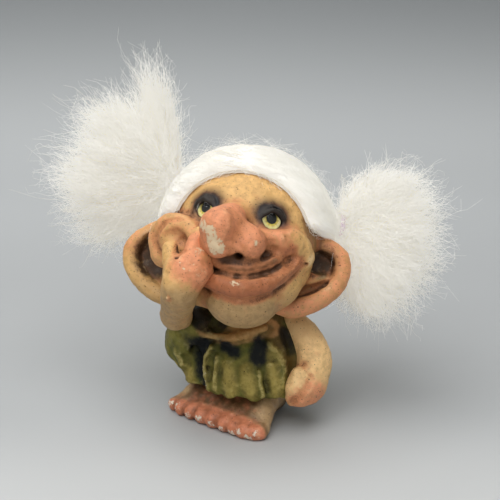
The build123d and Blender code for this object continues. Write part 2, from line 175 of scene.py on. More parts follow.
@dataclass(frozen=True)
class Roll:
    """A roll of clay through points, with a radius at each."""

    points: tuple[Point, ...]
    radii: tuple[float, ...]

    @staticmethod
    def through(points: Sequence[Point], radii: Sequence[float], cuts: int = 4) -> "Roll":
        """A roll on a smooth curve.

        Args:
            points: Points that the curve goes through.
            radii: Radius at each point.
            cuts: Straight runs between two points.

        Returns:
            The roll.
        """
        p = np.asarray(points, float)
        ghost = np.vstack([2 * p[0] - p[1], p, 2 * p[-1] - p[-2]])
        path, sizes = [], []
        for i in range(len(p) - 1):
            a, b, c, d = ghost[i : i + 4]
            for t in np.arange(cuts) / cuts:
                slow = 2 * b + (c - a) * t + (2 * a - 5 * b + 4 * c - d) * t**2
                path.append(0.5 * (slow + (3 * b - a - 3 * c + d) * t**3))
                sizes.append(radii[i] + (radii[i + 1] - radii[i]) * t)
        path.append(p[-1])
        sizes.append(radii[-1])
        return Roll(tuple(tuple(q) for q in path), tuple(sizes))

    def reach(self) -> tuple[Array, Array]:
        """Lowest and highest corner."""
        p, r = np.array(self.points), np.array(self.radii)[:, None]
        return (p - r).min(0), (p + r).max(0)

    def distance(self, p: Array) -> Array:
        """Distance of each point from the surface, negative inside."""
        best = np.full(len(p), 1e3, p.dtype)
        for i in range(len(self.points) - 1):
            a = np.array(self.points[i], p.dtype)
            run = np.array(self.points[i + 1], p.dtype) - a
            off = p - a
            t = np.clip(off @ run / max(float(run @ run), 1e-9), 0.0, 1.0)
            off -= t[:, None] * run
            size = self.radii[i] + (self.radii[i + 1] - self.radii[i]) * t
            np.minimum(best, np.sqrt(np.einsum("ij,ij->i", off, off)) - size, out=best)
        return best


@dataclass(frozen=True)
class Slab:
    """All that lies behind a plane."""

    point: Point
    out: Point

    def reach(self) -> tuple[Array, Array]:
        """Lowest and highest corner."""
        return np.full(3, -1e3), np.full(3, 1e3)

    def distance(self, p: Array) -> Array:
        """Distance of each point from the plane, negative behind it."""
        return (p - np.array(self.point, p.dtype)) @ unit(self.out).astype(p.dtype)


@dataclass(frozen=True)
class Skirt:
    """The tunic's bell: ellipses stacked up the body, with pleats and a scalloped hem."""

    levels: tuple[Point, ...]
    pleats: tuple[Point, ...]
    scallop: float
    scallops: int

    def half_axes(self, z: Array) -> tuple[Array, Array]:
        """Half width and half depth at each height."""
        table = np.array(self.levels)
        return np.interp(z, table[:, 0], table[:, 1]), np.interp(z, table[:, 0], table[:, 2])

    def on(self, angle: float, z: float, out: float = 0.0) -> Point:
        """A point on the bell at an angle from the figure's left and a height."""
        wide, deep = self.half_axes(np.array([z]))
        a = math.radians(angle)
        return ((wide[0] + out) * math.cos(a), (deep[0] + out) * math.sin(a), z)

    def reach(self) -> tuple[Array, Array]:
        """Lowest and highest corner."""
        table = np.array(self.levels)
        wide, deep = table[:, 1].max() + 3.0, table[:, 2].max() + 3.0
        return np.array([-wide, -deep, table[0, 0] - 2.5]), np.array([wide, deep, table[-1, 0]])

    def distance(self, p: Array) -> Array:
        """Distance of each point from the surface, negative inside."""
        z = p[:, 2]
        wide, deep = self.half_axes(z)
        turn = np.arctan2(p[:, 1] / deep, p[:, 0] / wide)
        spread = np.hypot(p[:, 0] / wide, p[:, 1] / deep)
        top, low = self.levels[-1][0], self.levels[0][0]
        drop = np.clip((top - 3.0 - z) / (top - low), 0.0, 1.0) ** 0.7
        swell = np.zeros(len(p))
        for angle, height, width in self.pleats:
            off = np.mod(turn - math.radians(angle) + math.pi, 2 * math.pi) - math.pi
            swell += height * np.exp(-((off / math.radians(width)) ** 2))
        side = (spread - 1.0) * np.minimum(wide, deep) - swell * drop
        hem = (
            low
            + self.scallop * np.cos(self.scallops * turn + 0.8)
            + 0.5 * self.scallop * np.sin(2.6 * self.scallops * turn)
        )
        return np.maximum(np.maximum(side, hem - z), z - top).astype(p.dtype)


@dataclass(frozen=True)
class Stroke:
    """One move of the sculptor."""

    shape: Shape
    join: Join
    soft: float


@dataclass
class Sculpt:
    """A casting sculpted from strokes, on a grid of small cells."""

    cell: float
    uneven: float = 0.0
    strokes: list[Stroke] = field(default_factory=list)

    def add(self, shape: Shape, soft: float = 1.0) -> None:
        """Puts clay on."""
        self.strokes.append(Stroke(shape, Join.ADD, soft))

    def carve(self, shape: Shape, soft: float = 0.5) -> None:
        """Takes clay off."""
        self.strokes.append(Stroke(shape, Join.CARVE, soft))

    def groove(self, points: Sequence[Point], width: float, depth: float, soft: float = 0.8) -> None:
        """Presses a groove into what is there, shallow at both ends.

        Args:
            points: Points near the surface that the groove runs through.
            width: Radius of the tool.
            depth: Depth in the middle.
            soft: Rounding of the groove's edges.
        """
        path = np.array(Roll.through(points, [1.0] * len(points), 6).points)
        steps = 0.05 * np.eye(3)
        for _ in range(4):
            slope = unit(np.stack([self.distance(path + e) - self.distance(path - e) for e in steps], 1))
            path = path - self.distance(path)[:, None] * slope
        fade = np.sin(math.pi * np.linspace(0.0, 1.0, len(path))) ** 0.6
        spots = path + slope * (width - depth * fade)[:, None]
        self.carve(Roll(tuple(tuple(q) for q in spots), (width,) * len(spots)), soft)

    @staticmethod
    def _meet(have: Array, new: Array, stroke: Stroke) -> Array:
        """The field after one more stroke."""
        if stroke.join is Join.ADD:
            return soft_least(have, new, stroke.soft)
        return -soft_least(-have, new, stroke.soft)

    def _waver(self, p: Array) -> Array:
        """Small unevenness of hand-pressed clay, from a few crossing waves."""
        total = np.zeros(len(p), p.dtype)
        for size, share, (a, b, c) in (
            (1.05, 0.5, (1.0, 0.6, -0.4)), (1.7, 0.3, (-0.5, 1.0, 0.7)), (2.9, 0.2, (0.6, -0.8, 1.0))
        ):
            x, y, z = p[:, 0] * size, p[:, 1] * size, p[:, 2] * size
            total += (
                share
                * np.sin(a * x + 1.3 * np.sin(0.7 * z))
                * np.cos(b * y + 1.1 * np.sin(0.6 * x))
                * np.sin(c * z + 0.8 * np.sin(0.9 * y) + 1.0)
            )
        return self.uneven * total

    def distance(self, points: Array) -> Array:
        """Distance of each point from the whole surface."""
        have = np.full(len(points), 20.0)
        for stroke in self.strokes:
            have = self._meet(have, stroke.shape.distance(points), stroke)
        return have + self._waver(points) if self.uneven else have

    def _grid(self) -> tuple[Array, Array]:
        """The field on the grid, each stroke worked out only where it reaches.

        Returns:
            The grid's lowest corner and the field.
        """
        reaches = [s.shape.reach() for s in self.strokes if s.join is Join.ADD]
        low = np.min([r[0] for r in reaches], axis=0) - 4 * self.cell
        high = np.max([r[1] for r in reaches], axis=0) + 4 * self.cell
        count = np.ceil((high - low) / self.cell).astype(int) + 1
        have = np.full(count, 20.0, np.float32)
        for stroke in self.strokes:
            a, b = stroke.shape.reach()
            pad = stroke.soft + 4 * self.cell
            first = np.clip(((a - pad - low) / self.cell).astype(int), 0, count)
            last = np.clip(((b + pad - low) / self.cell).astype(int) + 1, 0, count)
            axes = [(low[i] + np.arange(first[i], last[i]) * self.cell).astype(np.float32) for i in range(3)]
            spots = np.stack(np.meshgrid(*axes, indexing="ij"), -1).reshape(-1, 3)
            if len(spots) == 0:
                continue
            part = have[first[0] : last[0], first[1] : last[1], first[2] : last[2]]
            part[...] = self._meet(part.ravel(), stroke.shape.distance(spots), stroke).reshape(part.shape)
        if self.uneven:
            band = np.argwhere(np.abs(have) < 2.0 * self.cell + self.uneven)
            have[tuple(band.T)] += self._waver((low + band * self.cell).astype(np.float32))
        return low, have

    def skin(self) -> tuple[Array, Array]:
        """Quads on the surface, one corner for each cell that it crosses.

        Returns:
            Corners in millimetres and the quads' corner numbers, facing out.
        """
        low, have = self._grid()
        inside = have < 0
        span = np.array(have.shape) - 1
        corners = [(i, j, k) for i in (0, 1) for j in (0, 1) for k in (0, 1)]
        full = sum(
            inside[i : span[0] + i, j : span[1] + j, k : span[2] + k].astype(np.uint8) for i, j, k in corners
        )
        crossed = (full > 0) & (full < 8)
        cells = np.argwhere(crossed)
        number = np.full(crossed.shape, -1, np.int64)
        number[crossed] = np.arange(len(cells))
        value = {c: have[tuple((cells + c).T)] for c in corners}
        total, hits = np.zeros((len(cells), 3)), np.zeros(len(cells))
        for a in corners:
            for axis in range(3):
                if a[axis] == 1:
                    continue
                b = tuple(1 if i == axis else a[i] for i in range(3))
                cut = (value[a] < 0) != (value[b] < 0)
                share = value[a][cut] / (value[a][cut] - value[b][cut])
                spot = np.tile(np.array(a, float), (len(share), 1))
                spot[:, axis] += share
                total[cut] += spot
                hits[cut] += 1
        points = low + (cells + total / hits[:, None]) * self.cell
        quads = []
        for axis in range(3):
            u, v = (axis + 1) % 3, (axis + 2) % 3
            near = np.take(inside, np.arange(span[axis]), axis)
            far = np.take(inside, np.arange(1, span[axis] + 1), axis)
            edges = np.argwhere(near != far)
            edges = edges[
                (edges[:, u] > 0) & (edges[:, v] > 0) & (edges[:, u] < span[u]) & (edges[:, v] < span[v])
            ]
            eu, ev = np.eye(3, dtype=int)[u], np.eye(3, dtype=int)[v]
            ring = [number[tuple((edges - s).T)] for s in (0 * eu, eu, eu + ev, ev)]
            quad = np.stack(ring, 1)
            back = ~near[tuple(edges.T)]
            quad[back] = quad[back][:, ::-1]
            quads.append(quad)
        return points, np.vstack(quads)

    def settle(self, points: Array, normals: Array) -> Array:
        """Points moved along their normals on to the true surface."""
        for _ in range(2):
            here = self.distance(points)
            slope = (self.distance(points + 0.05 * normals) - self.distance(points - 0.05 * normals)) / 0.1
            step = np.clip(here / np.maximum(slope, 0.3), -0.6 * self.cell, 0.6 * self.cell)
            points = points - normals * step[:, None]
        return points

    def hollows(self, points: Array, normals: Array) -> Array:
        """How shut in each point is, from 0 on open surface to 1 in a deep crease."""
        shut = np.zeros(len(points))
        for step, share in ((0.7, 0.3), (1.6, 0.35), (3.4, 0.35)):
            shut += share * np.clip((step - self.distance(points + step * normals)) / step, 0.0, 1.0)
        return shut

    def edges(self, points: Array, normals: Array) -> Array:
        """How far each point stands out, from 0 on broad surface to 1 on a sharp ridge."""
        return np.clip(1.0 + self.distance(points - 1.3 * normals) / 1.3, 0.0, 1.0)


def near(points: Array, shapes: Sequence[Shape], full: float, none: float) -> Array:
    """Paint mask round some shapes.

    Args:
        points: Points to mask.
        shapes: Shapes that the paint goes on.
        full: Distance where the paint is full.
        none: Distance where it ends.

    Returns:
        A value from 0 to 1 for each point.
    """
    least = np.min([s.distance(points) for s in shapes], axis=0)
    return ease(least, none, full)


def normals_of(points: Array, quads: Array) -> Array:
    """Smooth normal at each corner of some quads."""
    across = points[quads[:, 2]] - points[quads[:, 0]]
    along = points[quads[:, 3]] - points[quads[:, 1]]
    flat = np.cross(across, along)
    total = np.zeros_like(points)
    for i in range(4):
        np.add.at(total, quads[:, i], flat)
    return total / np.maximum(np.linalg.norm(total, axis=1, keepdims=True), 1e-12)


def make_piece(
    name: str, points: Array, faces: Array | list, masks: dict[str, Array] | None = None
) -> bpy.types.Object:
    """A smooth mesh object in the scene.

    Args:
        name: Name of the piece.
        points: Corners in millimetres, on the figure.
        faces: Corner numbers of each face.
        masks: Values at each corner that the finish reads.

    Returns:
        The object, at the origin.
    """
    mesh = bpy.data.meshes.new(name)
    mesh.from_pydata(
        (np.asarray(points) * MM).tolist(), [], faces if isinstance(faces, list) else faces.tolist()
    )
    mesh.polygons.foreach_set("use_smooth", np.ones(len(mesh.polygons), bool))
    for label, values in (masks or {}).items():
        mesh.attributes.new(label, "FLOAT", "POINT").data.foreach_set(
            "value", np.asarray(values, np.float32)
        )
    mesh.update()
    piece = bpy.data.objects.new(name, mesh)
    bpy.context.scene.collection.objects.link(piece)
    return piece


def place(
    piece: bpy.types.Object, finish: Material, body: Body, stands_for: Sequence[str] = ()
) -> None:
    """Dresses a piece and hangs it on its body.

    Args:
        piece: The piece.
        finish: Its material.
        body: The body that it moves with.
        stands_for: CAD nodes that it stands for.
    """
    if not piece.data.materials:
        piece.data.materials.append(finish)
    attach(piece, body.value)
    if stands_for:
        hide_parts(*stands_for)
    log.info("%s: %d faces on %s", piece.name, len(piece.data.polygons), body.value)


def tube(path: Array, radius: float, sides: int, closed: bool) -> tuple[Array, list]:
    """A round tube along points.

    Args:
        path: Points of the middle line.
        radius: Radius of the tube.
        sides: Corners round it.
        closed: Whether the path joins up.

    Returns:
        Corners and quads.
    """
    ahead = unit(np.roll(path, -1, 0) - np.roll(path, 1, 0))
    middle = path.mean(0)
    first = unit(np.cross(ahead, path - middle))
    second = np.cross(ahead, first)
    angle = 2 * math.pi * np.arange(sides) / sides
    ring = first[:, None] * np.cos(angle)[None, :, None] + second[:, None] * np.sin(angle)[None, :, None]
    points = (path[:, None] + radius * ring).reshape(-1, 3)
    count = len(path)
    faces = []
    for i in range(count if closed else count - 1):
        j = (i + 1) % count
        for k in range(sides):
            m = (k + 1) % sides
            faces.append((i * sides + k, i * sides + m, j * sides + m, j * sides + k))
    return points, faces


class Graph:
    """Node graph of one finish, with short calls for the nodes that it uses."""

    def __init__(self, name: str) -> None:
        """Starts a material with a plain surface shader."""
        self.material = bpy.data.materials.new(name)
        self.material.use_nodes = True
        self.nodes = self.material.node_tree.nodes
        self.links = self.material.node_tree.links
        self.surface = self.nodes["Principled BSDF"]
        self.place = self.nodes.new("ShaderNodeTexCoord").outputs["Object"]

    def feed(self, socket: Socket, value: object) -> None:
        """Links a socket to another, or sets its value."""
        if isinstance(value, Socket):
            self.links.new(value, socket)
        elif isinstance(value, tuple) and len(value) == 3 and socket.type == "RGBA":
            socket.default_value = (*value, 1.0)
        else:
            socket.default_value = value

    def shader(self, label: str, value: object) -> None:
        """Sets or links one input of the surface shader."""
        self.feed(self.surface.inputs[label], value)

    def noise(
        self, size: float, detail: float = 3.0, rough: float = 0.55, stretch: Point = (1.0, 1.0, 1.0)
    ) -> Socket:
        """Cloudy value whose features are about size millimetres."""
        node = self.nodes.new("ShaderNodeTexNoise")
        node.inputs["Scale"].default_value = 1.0 / (size * MM)
        node.inputs["Detail"].default_value = detail
        node.inputs["Roughness"].default_value = rough
        where = self.place
        if stretch != (1.0, 1.0, 1.0):
            turn = self.nodes.new("ShaderNodeMapping")
            turn.inputs["Scale"].default_value = stretch
            self.links.new(self.place, turn.inputs["Vector"])
            where = turn.outputs["Vector"]
        self.links.new(where, node.inputs["Vector"])
        return node.outputs["Fac"]

    def cells(self, size: float) -> tuple[Socket, Socket]:
        """Distance from random points about size millimetres apart, and a random value for each."""
        node = self.nodes.new("ShaderNodeTexVoronoi")
        node.inputs["Scale"].default_value = 1.0 / (size * MM)
        self.links.new(self.place, node.inputs["Vector"])
        return node.outputs["Distance"], node.outputs["Color"]

    def mask(self, label: str) -> Socket:
        """A value that the mesh carries."""
        node = self.nodes.new("ShaderNodeAttribute")
        node.attribute_name = label
        return node.outputs["Fac"]

    def math(self, kind: str, a: object, b: object = 0.0) -> Socket:
        """One sum of two values."""
        node = self.nodes.new("ShaderNodeMath")
        node.operation = kind
        self.feed(node.inputs[0], a)
        self.feed(node.inputs[1], b)
        return node.outputs[0]

    def span(self, value: object, low: float, high: float, start: float = 0.0, end: float = 1.0) -> Socket:
        """A value mapped smoothly from low..high to start..end."""
        node = self.nodes.new("ShaderNodeMapRange")
        node.interpolation_type = "SMOOTHSTEP"
        for label, number in (("From Min", low), ("From Max", high), ("To Min", start), ("To Max", end)):
            node.inputs[label].default_value = number
        self.feed(node.inputs["Value"], value)
        return node.outputs["Result"]

    def mix(self, share: object, a: object, b: object, blend: str = "MIX") -> Socket:
        """Two colours mixed."""
        node = self.nodes.new("ShaderNodeMix")
        node.data_type, node.blend_type = "RGBA", blend
        self.feed(node.inputs[0], share)
        self.feed(node.inputs[6], a)
        self.feed(node.inputs[7], b)
        return node.outputs[2]

    def let_through(self, colour: Socket, share: float) -> None:
        """Lets a share of the light through a thin surface."""
        glow = self.nodes.new("ShaderNodeBsdfTranslucent")
        both = self.nodes.new("ShaderNodeMixShader")
        both.inputs[0].default_value = share
        self.links.new(colour, glow.inputs["Color"])
        self.links.new(self.surface.outputs[0], both.inputs[1])
        self.links.new(glow.outputs[0], both.inputs[2])
        self.links.new(both.outputs[0], self.nodes["Material Output"].inputs["Surface"])

    def bump(self, height: Socket, strength: float, depth: float) -> None:
        """Small relief on the surface, depth in millimetres."""
        node = self.nodes.new("ShaderNodeBump")
        node.inputs["Strength"].default_value = strength
        node.inputs["Distance"].default_value = depth * MM
        self.links.new(height, node.inputs["Height"])
        self.shader("Normal", node.outputs["Normal"])


@dataclass(frozen=True)
class Coat:
    """One brushed colour on a casting; some coats stand for painted shade."""

    mask: str
    colour: Colour
    strength: float = 1.0
    ragged: float = 0.5
    last: bool = False


@dataclass(frozen=True)
class CastPaint:
    """A hand-painted casting: brushed colours, creases washed brown and darkened as painted shade, ridges
    dry-brushed and lightened as painted highlight, specks and chips.
    """

    name: str
    ground: Colour
    second: Colour
    coats: tuple[Coat, ...]
    # These two colours darken the creases: part the brown antiquing of the paint, part painted shade.
    flush_and_shade: Colour = (0.58, 0.235, 0.10)
    flush_and_shade_strength: float = 0.7
    wash_and_shade: Colour = (0.060, 0.024, 0.008)
    wash_and_shade_strength: float = 0.93
    # The ridge colour: part dry-brushing, part painted highlight.
    dry_brush_and_highlight: Colour = (0.80, 0.60, 0.34)
    speck: Colour = (0.05, 0.025, 0.01)
    speck_share: float = 0.45
    chip: Colour = (0.74, 0.59, 0.38)
    roughness: float = 0.55
    shine: float = 0.35

    def _coated(self, g: Graph, blotch: Socket, colour: Socket, last: bool) -> Socket:
        """The colour so far with the first or the last coats brushed on, each with a worn edge."""
        worn = g.math("SUBTRACT", blotch, 0.5)
        for coat in self.coats:
            if coat.last is not last:
                continue
            here = g.mask(coat.mask)
            wear = g.math("MULTIPLY", g.math("MULTIPLY", worn, coat.ragged * 2.4), g.span(here, 0.0, 0.3))
            share = g.span(g.math("ADD", here, wear), 0.05, 0.95, 0.0, coat.strength)
            colour = g.mix(share, colour, coat.colour)
        return colour

    def _specks(self, g: Graph, broad: Socket) -> Socket:
        """Fine pinholes and some larger ones, in patches."""
        total = None
        for size, low, high in ((0.6, 0.24, 0.12), (1.3, 0.17, 0.09), (2.4, 0.11, 0.07)):
            gap, pick = g.cells(size)
            dot = g.math(
                "MULTIPLY", g.span(gap, low, high),
                g.span(pick, 1.0 - self.speck_share, 1.02 - self.speck_share),
            )
            total = dot if total is None else g.math("MAXIMUM", total, dot)
        return g.math("MULTIPLY", total, g.span(broad, 0.30, 0.48))

    def material(self) -> Material:
        """Builds the node graph."""
        g = Graph(self.name)
        broad = g.noise(6.0, 4.0, 0.6)
        blotch = g.noise(1.8, 5.0, 0.68)
        fine = g.noise(0.4, 3.0, 0.6)
        colour = self._coated(g, blotch, g.mix(g.span(broad, 0.35, 0.65), self.ground, self.second), False)
        # Ridges lighten: part dry-brushing, part painted highlight.
        raised = g.math(
            "MULTIPLY", g.span(g.mask("ridge"), 0.05, 0.45), g.span(blotch, 0.35, 0.62, 0.05, 0.55)
        )
        colour = g.mix(raised, colour, self.dry_brush_and_highlight)
        grain = g.math("MULTIPLY", g.math("SUBTRACT", g.noise(0.22, 2.0, 0.6), 0.5), 0.5)
        # Creases darken in two steps, first a warm colour then a dark one: part the brown antiquing of the
        # paint, part painted shade.
        hollow = g.math("ADD", g.mask("hollow"), g.math("MULTIPLY", g.math("SUBTRACT", blotch, 0.5), 0.25))
        colour = g.mix(g.span(hollow, 0.03, 0.24, 0.0, self.flush_and_shade_strength), colour, self.flush_and_shade)
        colour = g.mix(
            g.span(g.math("ADD", hollow, grain), 0.17, 0.5, 0.0, self.wash_and_shade_strength), colour, self.wash_and_shade
        )
        mottle = g.mix(g.span(blotch, 0.32, 0.68), (0.74, 0.68, 0.62), (1.1, 1.08, 1.06))
        colour = g.mix(0.8, colour, mottle, "MULTIPLY")
        dot = self._specks(g, broad)
        colour = g.mix(g.math("MULTIPLY", dot, 0.8), colour, self.speck)
        colour = self._coated(g, blotch, colour, True)
        flake = g.math(
            "ADD", g.mask("chip"), g.math("MULTIPLY", g.math("SUBTRACT", g.noise(1.1, 6.0, 0.75), 0.5), 2.4)
        )
        flake = g.span(flake, 0.6, 0.72)
        colour = g.mix(g.math("MULTIPLY", flake, 0.9), colour, self.chip)
        g.shader("Base Color", colour)
        g.shader("Roughness", g.span(blotch, 0.3, 0.7, self.roughness - 0.1, self.roughness + 0.12))
        g.shader("Specular IOR Level", self.shine)
        height = g.math("ADD", g.math("MULTIPLY", fine, 0.4), g.math("MULTIPLY", blotch, 0.7))
        height = g.math("SUBTRACT", height, g.math("MULTIPLY", dot, 0.5))
        height = g.math("SUBTRACT", height, g.math("MULTIPLY", flake, 0.3))
        g.bump(height, 0.6, 0.35)
        return g.material


@dataclass(frozen=True)
class FurFinish:
    """White fur, some strands warmer and darker, most of all at the root: part the fur's own tint, part
    painted shade.
    """

    name: str = "white_fur"
    pale: Colour = (0.98, 0.97, 0.93)
    warm_and_shade: Colour = (0.60, 0.54, 0.43)
    roughness: float = 0.55
    # Painted glow: the fur gives off a little light of its own colour.
    painted_glow: float = 0.19

    def material(self, strands: bool) -> Material:
        """Builds the node graph, for strands or for the matted fur under them."""
        g = Graph(self.name + ("_strands" if strands else "_mat"))
        if strands:
            # Darker, warmer strands, most at the root: part the fur's own tint, part painted shade.
            share = g.math(
                "MULTIPLY", g.math("POWER", g.mask("tint"), 3.0),
                g.span(g.mask("along"), 0.0, 1.0, 0.75, 0.25),
            )
            colour = g.mix(share, self.pale, self.warm_and_shade)
        else:
            matted = g.noise(0.5, 4.0, 0.7, (1.0, 1.0, 0.35))
            colour = g.mix(g.span(matted, 0.3, 0.7, 0.0, 0.3), self.pale, self.warm_and_shade)
            g.bump(matted, 0.8, 0.5)
        g.shader("Base Color", colour)
        g.shader("Roughness", self.roughness)
        g.shader("Specular IOR Level", 0.3)
        g.shader("Sheen Weight", 0.2)
        g.shader("Sheen Roughness", 0.4)
        # Painted glow of the fur's own colour.
        g.shader("Emission Color", colour)
        g.shader("Emission Strength", self.painted_glow)
        if strands:
            g.let_through(colour, 0.2)
        return g.material


@dataclass(frozen=True)
class GlassFinish:
    """Clear polished glass."""

    name: str = "clear_eye_glass"

    def material(self) -> Material:
        """Builds the node graph."""
        g = Graph(self.name)
        g.shader("Base Color", g.mix(g.span(g.noise(1.0), 0.3, 0.7), (1.0, 1.0, 1.0), (0.96, 0.98, 0.95)))
        g.shader("Transmission Weight", 1.0)
        g.shader("Roughness", 0.02)
        g.shader("IOR", 1.06)
        g.shader("Coat Weight", 0.35)
        g.shader("Coat Roughness", 0.03)
        g.shader("Coat IOR", 1.36)
        return g.material


@dataclass(frozen=True)
class IrisFinish:
    """Gold painted iris with a black pupil and a dark rim, darkened at the top as painted shadow of the lid.
    """

    name: str = "gold_iris"
    gold: Colour = (0.80, 0.62, 0.10)
    olive: Colour = (0.17, 0.14, 0.02)
    pale: Colour = (0.92, 0.83, 0.42)

    def material(self) -> Material:
        """Builds the node graph."""
        g = Graph(self.name)
        ring = g.mask("ring")
        flecks = g.span(
            g.math("ADD", g.noise(0.35, 4.0, 0.7), g.math("MULTIPLY", g.mask("ray"), 0.25)), 0.42, 0.8
        )
        colour = g.mix(flecks, self.gold, self.olive)
        colour = g.mix(g.math("MULTIPLY", g.span(ring, 0.55, 0.8), 0.75), colour, self.pale)
        # Painted shadow of the lid over the top of the iris.
        colour = g.mix(
            g.math("MULTIPLY", g.span(g.mask("lid"), 0.15, 0.6), 0.97), colour, (0.012, 0.011, 0.006)
        )
        colour = g.mix(g.span(ring, 0.93, 0.98), colour, (0.01, 0.01, 0.008))
        colour = g.mix(g.span(g.mask("pupil"), 0.56, 0.52), colour, (0.004, 0.004, 0.005))
        g.shader("Base Color", colour)
        g.shader("Roughness", 0.3)
        g.shader("Metallic", 0.0)
        return g.material


@dataclass(frozen=True)
class PlainStock:
    """Stock that mostly hides inside the figure: wire, hide, plaster or elastic."""

    name: str
    colour: Colour
    second: Colour
    grain: float
    roughness: float
    metallic: float = 0.0

    def material(self) -> Material:
        """Builds the node graph."""
        g = Graph(self.name)
        cloud = g.noise(self.grain, 4.0, 0.6)
        g.shader("Base Color", g.mix(g.span(cloud, 0.35, 0.65), self.colour, self.second))
        g.shader("Roughness", g.span(cloud, 0.3, 0.7, self.roughness - 0.08, self.roughness + 0.08))
        g.shader("Metallic", self.metallic)
        g.bump(cloud, 0.4, 0.15)
        return g.material


def cast(name: str, sculpt: Sculpt, to_world: bool) -> tuple[Array, Array, Array, dict[str, Array]]:
    """Skins a sculpt and takes its creases and ridges.

    Args:
        name: Name for the log.
        sculpt: The sculpt.
        to_world: Whether it was made in the head's frame.

    Returns:
        Corners where they were sculpted, corners on the figure, quads, and the first masks.
    """
    points, quads = sculpt.skin()
    points = sculpt.settle(points, normals_of(points, quads))
    normals = normals_of(points, quads)
    hollow = sculpt.hollows(points, normals)
    masks = {
        "hollow": hollow, "ridge": sculpt.edges(points, normals) * np.clip(1.0 - 4.0 * hollow, 0.0, 1.0)
    }
    log.info("%s sculpted: %d quads", name, len(quads))
    return points, (HEAD.to_world(points) if to_world else points), quads, masks


@dataclass
class Eye:
    """A glass eye: clear dome over a painted disc, set square to the skull."""

    side: Side
    lift: float
    spread: float = 26.8
    seat: float = 21.5
    radius: float = 3.1
    dome: float = 1.9

    def axes(self) -> tuple[Array, Array, Array, Array]:
        """Middle of the glass's back and its right, up and outward directions, in the head's frame."""
        a, e = math.radians(self.spread * self.side.value), math.radians(self.lift)
        out = np.array([math.sin(a) * math.cos(e), -math.cos(a) * math.cos(e), math.sin(e)])
        right = unit(np.cross(out, (0, 0, 1)))
        return out * self.seat, right, np.cross(right, out), out

    def at(self, right: float, up: float, out: float) -> Point:
        """A point of the eye's own frame in the head's frame."""
        middle, r, u, o = self.axes()
        return tuple(middle + right * r + up * u + out * o)

    def _disc(self, heights: Array, radii: Array, turns: int) -> tuple[Array, list]:
        """Rings closed at both ends, from the first height to the last."""
        middle, r, u, o = self.axes()
        angle = 2 * math.pi * np.arange(turns) / turns
        points = [middle + heights[0] * o]
        for h, size in zip(heights[1:-1], radii[1:-1]):
            points.extend(middle + h * o + size * (np.cos(t) * r + np.sin(t) * u) for t in angle)
        points.append(middle + heights[-1] * o)
        rings = len(heights) - 2
        faces = [(0, 1 + (k + 1) % turns, 1 + k) for k in range(turns)]
        for i in range(rings - 1):
            for k in range(turns):
                a, b = 1 + i * turns, 1 + (i + 1) * turns
                m = (k + 1) % turns
                faces.append((a + k, a + m, b + m, b + k))
        last = 1 + (rings - 1) * turns
        faces.extend((last + k, last + (k + 1) % turns, len(points) - 1) for k in range(turns))
        return np.array(points), faces

    def build(self, glass: Material, iris: Material) -> None:
        """Makes the dome and the iris.

        Args:
            glass: Finish of the dome.
            iris: Finish of the disc.
        """
        label = self.side.name.lower()
        ball = (self.radius**2 + self.dome**2) / (2 * self.dome)
        reach = math.asin(self.radius / ball) if ball >= self.radius else math.pi / 2
        angle = np.linspace(reach, 0.0, 15)
        heights = np.concatenate([[0.02, 0.02], ball * np.cos(angle) - (ball - self.dome)])
        radii = np.concatenate([[0.0, 0.5 * self.radius], ball * np.sin(angle)])
        heights[2] = max(heights[2], 0.04)
        points, faces = self._disc(heights, radii, 40)
        piece = make_piece(label + "_glass_dome", HEAD.to_world(points), faces)
        place(piece, glass, Body.FIGURE, [label + "_eye_glass"])
        rings = np.linspace(0.0, 1.0, 12)
        size = 0.985 * self.radius
        heights = np.concatenate(
            [[-0.38, -0.38], np.full(11, -0.02)[::-1] - 0.16 * (1 - rings[1:][::-1] ** 2), [-0.18]]
        )
        radii = np.concatenate([[0.0, size], size * rings[1:][::-1], [0.0]])
        points, faces = self._disc(heights, radii, 48)
        middle, r, u, _ = self.axes()
        off = (points - middle) / size
        x, y = off @ r, off @ u
        # The height on the disc is kept for the painted shadow of the lid at the top.
        masks = {
            "ring": np.hypot(x, y),
            "pupil": np.hypot(x - 0.02, y - 0.08),
            "lid": y,
            "ray": np.sin(17 * np.arctan2(y, x)) * np.sin(7 * np.arctan2(y, x) + 1.0),
        }
        piece = make_piece(label + "_gold_iris", HEAD.to_world(points), faces, masks)
        place(piece, iris, Body.FIGURE, [label + "_iris"])


